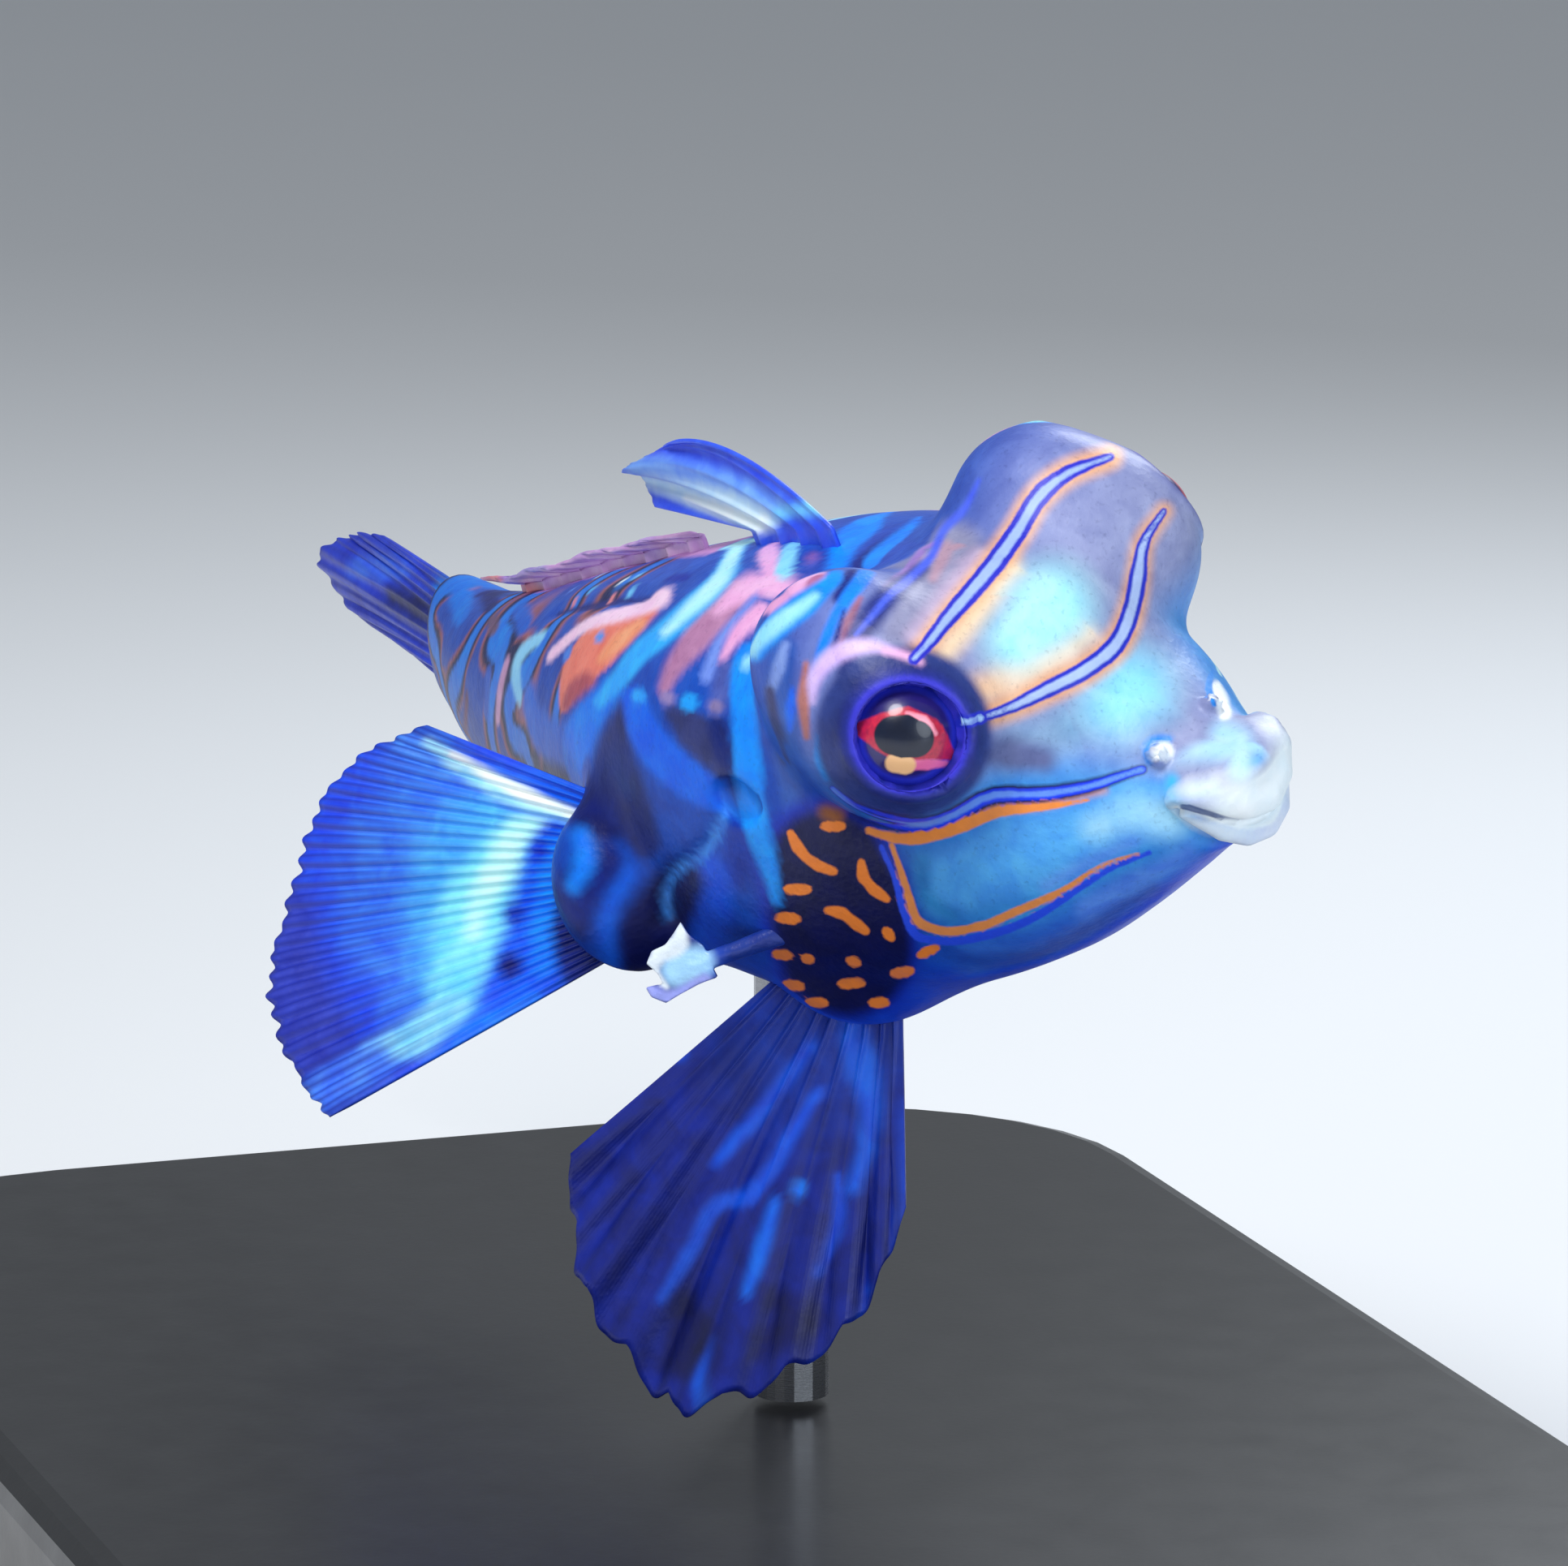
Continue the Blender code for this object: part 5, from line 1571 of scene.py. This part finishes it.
PECTORAL_WASHES = (
    ("1c4cec", 30, (60, 84, 70), ((430, 960), (420, 1090), (440, 1200))),
    ("2c3cb8", 26, (40, 56, 50), ((352, 1130), (350, 1210), (380, 1270))),
    ("3a80fa", 34, (46, 80, 76, 50), ((530, 950), (510, 1050), (500, 1150), (515, 1215))),
    ("4ab0fb", 28, (30, 58, 60, 46, 26), ((610, 985), (575, 1060), (560, 1130), (552, 1190), (556, 1240))),
    ("0a84fa", 12, (26, 30, 34, 26), ((722, 1040), (690, 1060), (668, 1120), (660, 1180))),
    ("0a5cf0", 10, (14, 22, 26, 22), ((655, 1060), (640, 1110), (628, 1160), (640, 1220))),
    ("0a70fa", 12, (20, 26, 22), ((650, 1240), (600, 1280), (545, 1322))),
    ("7ce0fd", 16, (14, 26, 38, 44, 38, 26),
     ((650, 1008), (628, 1040), (600, 1088), (580, 1140), (566, 1190), (558, 1225))),
    ("c4fbff", 12, (8, 16, 20, 16, 8), ((672, 1006), (636, 1030), (616, 1072), (596, 1110), (586, 1150))),
    ("8cdcfd", 12, (18, 24, 16), ((560, 1240), (515, 1278), (462, 1300))),
    ("4480fb", 14, (24, 24, 18), ((462, 1312), (410, 1340), (370, 1370))),
    ("4a90fb", 8, (8, 14, 14, 12), ((690, 1006), (630, 985), (560, 950), (500, 915))),
    ("a4e4fd", 7, (8, 13, 12, 7), ((705, 1006), (650, 986), (590, 958), (530, 916))),
    ("f6ffff", 5, (5, 8, 8, 4), ((712, 1004), (655, 982), (604, 956), (560, 930))),
    ("0334d0", 8, (11,), ((668, 1048),)),
    ("0334b8", 9, (12,), ((636, 1128),)),
    ("021a88", 10, (15,), ((630, 1192),)),
    ("021a78", 10, (18, 34, 34, 24), ((712, 1090), (716, 1140), (724, 1190), (740, 1240))),
    ("041470", 14, (16, 20), ((600, 1345), (470, 1392))),
)
PELVIC_WASHES = (
    ("0a5ce0", 12, (16, 20, 14, 10, 8),
     ((1050, 1262), (1062, 1310), (1074, 1360), (1068, 1420), (1052, 1462))),
    ("0a4cd4", 8, (6, 10, 9, 6), ((1032, 1452), (1034, 1500), (1020, 1542), (1006, 1570))),
    ("0a4cd4", 8, (8, 10, 9, 6), ((1000, 1290), (962, 1340), (928, 1382), (884, 1432))),
    ("0a4cd4", 8, (5, 8, 9, 10, 9, 9, 6), ((1010, 1345), (975, 1400), (948, 1446), (926, 1474), (888, 1482),
                                           (852, 1540), (816, 1600))),
    ("0a64e4", 8, (6, 9, 6), ((956, 1482), (942, 1532), (922, 1592))),
    ("0a78f0", 9, (10,), ((984, 1465),)),
    ("0a4ccc", 9, (8, 10, 8), ((874, 1656), (862, 1700), (868, 1736))),
    ("0a48d0", 10, (8, 9, 9, 8), ((846, 1262), (800, 1276), (830, 1296), (840, 1300))),
    ("0636b0", 9, (7, 8, 8), ((1112, 1360), (1116, 1450), (1104, 1545))),
    ("0636b0", 9, (8, 8, 7), ((1072, 1592), (1040, 1660), (960, 1706))),
    ("020a50", 14, (22, 30, 22), ((846, 1612), (850, 1640), (836, 1680))),
    ("020c5c", 14, (18, 26, 18), ((950, 1600), (990, 1620), (940, 1660))),
)
DORSAL_WASHES = (
    ("6ea4fc", 12, (18, 22, 18, 12), ((786, 580), (832, 588), (890, 598), (960, 622))),
    # the pale trailing membrane: its own pale colour, brightened by a painted highlight
    ("c0e4ff", 9, (8, 15, 18, 12), ((800, 592), (850, 606), (900, 622), (950, 640))),
    # the white core of the painted highlight on the trailing membrane
    ("f0fcff", 7, (4, 9, 10), ((850, 612), (898, 630), (940, 644))),
    ("6cc0fc", 8, (7, 9, 8), ((962, 632), (992, 626), (1022, 626))),
)
BACK_WASHES = (
    ("e8909c", 7, (14, 15), ((586, 690), (614, 708))),
    ("b090e4", 7, (10, 10), ((628, 712), (640, 716))),
    ("f08090", 7, (12, 15), ((650, 728), (676, 742))),
    ("2450e4", 8, (18, 18), ((540, 686), (562, 700))),
    ("e4b0ec", 8, (16, 18, 18, 16), ((690, 704), (760, 690), (830, 678), (900, 668))),
)
TAIL_WASHES = (
    ("3468f0", 10, (12, 16, 12), ((440, 700), (470, 700), (500, 700))),
    ("2450e8", 10, (14, 22, 16), ((520, 680), (545, 676), (565, 690))),
    ("0a8cf4", 10, (10, 15, 12), ((552, 724), (572, 740), (580, 780))),
    # painted shade: dark navy where the tail's lower lobe lies in shadow
    ("041468", 12, (14, 18, 14), ((490, 736), (520, 752), (548, 770))),
)


def fin_finish(name, dark, rays, veil):
    """A fin painted at its vertices, with darker rays, soft clouds and a thin clear veil."""
    made = Finish(name, roughness=0.35, coat_roughness=0.2)
    out, across, ridge = (made.attribute(key) for key in ("outward", "across", "ridge"))
    colour = made.attribute_colour("tone")
    mottle = ((made.noise(1.0, 4.0, distortion=0.5) - 0.5) * 3.0).math("ADD", 0.5, clamp=True)
    colour = made.mix(0.35, colour, made.mix(mottle, (0.0, 0.0, 0.06), (1.0, 1.0, 1.0)), "SOFT_LIGHT")
    strength = (out * 2.4 - 0.9).math("ADD", 0.0, clamp=True) * rays
    colour = made.mix(ridge * strength, colour, dark)
    made.set("Base Color", colour)
    made.set("Alpha", 1.0 - (1.0 - ridge) * out * veil)
    made.set("Roughness", made.noise(3.0, 2.0) * 0.2 + 0.3)
    made.bump(made.noise(6.0, 3.0) + (across * 900.0).sine() * 0.1, 0.03, 0.4)
    return made.material


def build_paired_fins():
    look = bpy.context.scene.mandarin_fins
    fan = fin_finish("pectoral fan", look.deep, 0.7, 0.05)
    sail = fin_finish("pelvic sail", paint("02082c"), 0.35, 0.04)
    fan_tone = sail_tone = None
    for side, name in ((-1, "right"), (1, "left")):
        spread = side < 0
        tip = along_line(*(PECTORAL_SPREAD if spread else PECTORAL_FOLDED))
        root = grown_from(along_line(*PECTORAL_INNER), tip)
        fan_tone = build_fin(
            "pectoral_" + name, "pectoral_fin_" + name, sided(root, side), sided(tip, side),
            look.pectoral_rays, fan, rows=48, bow=cup(0.9, (1.0, 0.0, 0.0)), station=21.0,
            scallop=0.012, pleat=0.055, waves=2.0, buried=1.2, bend=0.03,
            tones=("0a5ce4", "1849ec", "0d29a4"), washes=PECTORAL_WASHES, shared=fan_tone,
        )
        tip = along_line(*(PELVIC_SPREAD if spread else PELVIC_FOLDED))
        root = grown_from(along_line(*PELVIC_INNER), tip)
        sail_tone = build_fin(
            "pelvic_" + name, "pelvic_fin_" + name, sided(root, side), sided(tip, side), 9, sail,
            rows=52, fine=20, bow=cup(1.2, (1.0, 0.0, -0.3)), station=14.5, scallop=0.06, pleat=0.16,
            waves=2.5, buried=1.2, split=0.26, tones=("04309c", "021a80", "031c88"),
            washes=PELVIC_WASHES, shared=sail_tone,
        )


def build_median_fins():
    sail = fin_finish("spiny sail", paint("1430b8"), 0.25, 0.04)
    soft = fin_finish("soft fin", paint("3a3a90"), 0.3, 0.1)
    tail = fin_finish("tail fin", paint("040c58"), 0.3, 0.05)
    down, up = (0.0, 0.0, -1.0), (0.0, 0.0, 1.0)
    build_fin(
        "dorsal_spiny", "first_dorsal_fin", back_line(*FIRST_DORSAL, 1), along_line(*FIRST_DORSAL_TIP),
        4, sail, rows=56, fine=24, bow=spine_curl, station=19.0, split=0.0, scallop=0.0, pleat=0.03,
        waves=1.0, bend=0.14, ripple=0.08, buried=0.9, sink=down,
        tones=("2a54e8", "2f56f0", "3a5cf8"), washes=DORSAL_WASHES,
    )
    build_fin(
        "dorsal_soft", "second_dorsal_fin", back_line(*SECOND_DORSAL, 1), along_line(*SECOND_DORSAL_TIP),
        9, soft, rows=26, fine=18, pleat=0.04, ripple=0.06, scallop=0.02, buried=1.0, sink=down,
        tones=("b880c4", "d8a0dc", "b0a0e8"), washes=BACK_WASHES,
    )
    build_fin(
        "anal", "anal_fin", back_line(*ANAL, -1), along_line(*ANAL_TIP), 8, soft, rows=30, fine=18,
        pleat=0.14, buried=1.0, sink=up, tones=("1048c8", "2060e4", "1a38b0"),
    )
    build_fin(
        "caudal", "caudal_fin", along_line(*CAUDAL_ROOT), along_line(*CAUDAL_TIP), 10, tail,
        rows=56, fine=16, bow=cup(0.5, (0.0, 1.0, 0.0)), station=BODY_END, pleat=0.05, scallop=0.008,
        bend=0.08, ripple=0.08, tones=("0a48b8", "1c3cd0", "1a38cc"), washes=TAIL_WASHES,
    )


class MANDARIN_OT_paired_fins(Operator):
    """Makes the pectoral and pelvic fins with their branching rays"""

    bl_idname = "mandarin.paired_fins"
    bl_label = "Paired fins"

    def execute(self, context):
        build_paired_fins()
        return {"FINISHED"}


class MANDARIN_OT_median_fins(Operator):
    """Makes the two dorsal fins, the anal fin and the tail fin"""

    bl_idname = "mandarin.median_fins"
    bl_label = "Dorsal, anal and tail fins"

    def execute(self, context):
        build_median_fins()
        return {"FINISHED"}


# ---------------------------------------------------------------- stand


class StandSettings(PropertyGroup):
    plate: colour_property("Plate", "Lacquer of the display plate", "17181c")
    rod: colour_property("Rod", "Brushed steel of the rod", "a8aab0")


def finish_stand():
    look = bpy.context.scene.mandarin_stand
    lacquer = Finish("satin black lacquer", coat_weight=0.3, coat_roughness=0.2)
    grain = lacquer.noise(0.06, 5.0, lacquer.place((1.0, 12.0, 1.0)))
    lacquer.set("Base Color", lacquer.mix(grain * 0.7, look.plate, [c * 0.4 for c in look.plate]))
    lacquer.set("Roughness", lacquer.noise(0.5, 4.0) * 0.18 + 0.28)
    lacquer.bump(lacquer.noise(4.0, 3.0), 0.01, 0.4)
    steel = Finish("brushed steel rod", metallic=1.0)
    lines = steel.noise(3.0, 4.0, steel.place((1.0, 1.0, 14.0)))
    steel.set("Base Color", steel.mix(lines * 0.5, look.rod, [c * 0.6 for c in look.rod]))
    steel.set("Roughness", lines * 0.2 + 0.18)
    steel.bump(lines, 0.01, 0.4)
    for node, finish in (("stand_base", lacquer), ("stand_rod", steel)):
        thing = frame["nodes"][node]
        thing.data.materials.clear()
        thing.data.materials.append(finish.material)


class MANDARIN_OT_stand(Operator):
    """Gives the stand its lacquer and brushed steel"""

    bl_idname = "mandarin.stand"
    bl_label = "Stand finish"

    def execute(self, context):
        finish_stand()
        return {"FINISHED"}


# ---------------------------------------------------------------- stage


class StageSettings(PropertyGroup):
    floor: colour_property("Floor", "Plain pale floor", "e8ebef")
    key_power: FloatProperty(
        name="Key light", description="Power of the main soft light", default=0.42, min=0.0, unit="POWER"
    )
    fill_power: FloatProperty(
        name="Fill light", description="Power of the fill light", default=0.14, min=0.0, unit="POWER"
    )
    rim_power: FloatProperty(
        name="Rim light", description="Power of the light from behind", default=0.14, min=0.0, unit="POWER"
    )


def add_light(name, place, aim, size, power, tint):
    data = bpy.data.lights.new(name, "AREA")
    data.shape = "DISK"
    data.size = size * MM
    data.energy = power
    data.color = tint
    lamp = bpy.data.objects.new(name, data)
    bpy.context.scene.collection.objects.link(lamp)
    lamp.location = Vector(place) * MM
    lamp.rotation_mode = "QUATERNION"
    lamp.rotation_quaternion = (Vector(aim) - Vector(place)).to_track_quat("-Z", "Y")


FLOOR_SIZE = 4.0  # metres: wide enough to fill the view from any side
FLOOR_CLOUD = (0.9, 0.92, 0.95)
WORLD_COLOUR, WORLD_STRENGTH = (0.82, 0.88, 0.95, 1.0), 0.3
SENSOR_WIDTH = 36.0  # mm
CLIP_START, CLIP_END = 0.005, 5.0  # metres
# for each light: how far towards the camera, to the right and up from the fish, its size, its tint
KEY_LIGHT = (120, -70, 150), 110, (1.0, 0.98, 0.95)
FILL_LIGHT = (160, 130, 20), 140, (0.85, 0.93, 1.0)
RIM_LIGHT = (-120, 60, 130), 80, (0.9, 0.95, 1.0)


def build_stage():
    look = bpy.context.scene.mandarin_stage
    towards, right, up, centre = view_axes()
    floor = added("grid", x_subdivisions=40, y_subdivisions=40, size=FLOOR_SIZE)
    finish = Finish("pale floor", roughness=0.75)
    finish.set("Base Color", finish.mix(finish.noise(0.02, 3.0) * 0.25, look.floor, FLOOR_CLOUD))
    finish.bump(finish.noise(1.2, 3.0), 0.02, 0.2)
    floor.data.materials.append(finish.material)
    for face in floor.data.polygons:
        face.use_smooth = True
    floor.name = "floor"

    for name, power, ((near, aside, above), size, tint) in (
        ("key", look.key_power, KEY_LIGHT),
        ("fill", look.fill_power, FILL_LIGHT),
        ("rim", look.rim_power, RIM_LIGHT),
    ):
        place = centre + towards * near + right * aside + up * above
        add_light(name, place, centre, size, power, tint)
    bpy.context.scene.view_settings.view_transform = "Standard"
    world = bpy.context.scene.world or bpy.data.worlds.new("studio")
    bpy.context.scene.world = world
    world.use_nodes = True
    background = world.node_tree.nodes["Background"].inputs
    background["Color"].default_value = WORLD_COLOUR
    background["Strength"].default_value = WORLD_STRENGTH

    lens = bpy.data.cameras.new("view")
    lens.sensor_width = SENSOR_WIDTH
    lens.lens = VIEW_SCALE * VIEW_DISTANCE * SENSOR_WIDTH / FRAME_WIDTH
    lens.clip_start, lens.clip_end = CLIP_START, CLIP_END
    camera = bpy.data.objects.new("view", lens)
    bpy.context.scene.collection.objects.link(camera)
    turn = Matrix((right, up, towards)).transposed()
    place = Vector((centre + towards * VIEW_DISTANCE) * MM)
    camera.matrix_world = Matrix.Translation(place) @ turn.to_4x4()
    bpy.context.scene.camera = camera


class MANDARIN_OT_stage(Operator):
    """Sets the pale floor, the studio lights and the camera"""

    bl_idname = "mandarin.stage"
    bl_label = "Stage"

    def execute(self, context):
        build_stage()
        return {"FINISHED"}


# ---------------------------------------------------------------- the panel, and the run

OPERATORS = (
    MANDARIN_OT_skin, MANDARIN_OT_eyes, MANDARIN_OT_spines, MANDARIN_OT_paired_fins,
    MANDARIN_OT_median_fins, MANDARIN_OT_stand, MANDARIN_OT_stage,
)


class MANDARIN_PT_panel(Panel):
    """Lists the steps that make the model"""

    bl_label = "Mandarinfish"
    bl_idname = "MANDARIN_PT_panel"
    bl_space_type = "VIEW_3D"
    bl_region_type = "UI"
    bl_category = "Mandarinfish"

    def draw(self, context):
        for step in OPERATORS:
            self.layout.operator(step.bl_idname)
        for name in SETTINGS:
            box = self.layout.box()
            group = getattr(context.scene, name)
            for key in group.__annotations__:
                box.prop(group, key)


SETTINGS = {
    "mandarin_skin": SkinSettings,
    "mandarin_eyes": EyeSettings,
    "mandarin_fins": FinSettings,
    "mandarin_stand": StandSettings,
    "mandarin_stage": StageSettings,
}


def register():
    for kind in (*SETTINGS.values(), *OPERATORS, MANDARIN_PT_panel):
        bpy.utils.register_class(kind)
    for name, kind in SETTINGS.items():
        setattr(bpy.types.Scene, name, PointerProperty(type=kind))


def unregister():
    for name in SETTINGS:
        delattr(bpy.types.Scene, name)
    for kind in (MANDARIN_PT_panel, *reversed(OPERATORS), *reversed(tuple(SETTINGS.values()))):
        bpy.utils.unregister_class(kind)


def main():
    register()
    bpy.ops.mandarin.stage()
    bpy.ops.mandarin.skin()
    bpy.ops.mandarin.eyes()
    bpy.ops.mandarin.spines()
    bpy.ops.mandarin.paired_fins()
    bpy.ops.mandarin.median_fins()
    bpy.ops.mandarin.stand()


if __name__ == "__main__":
    main()
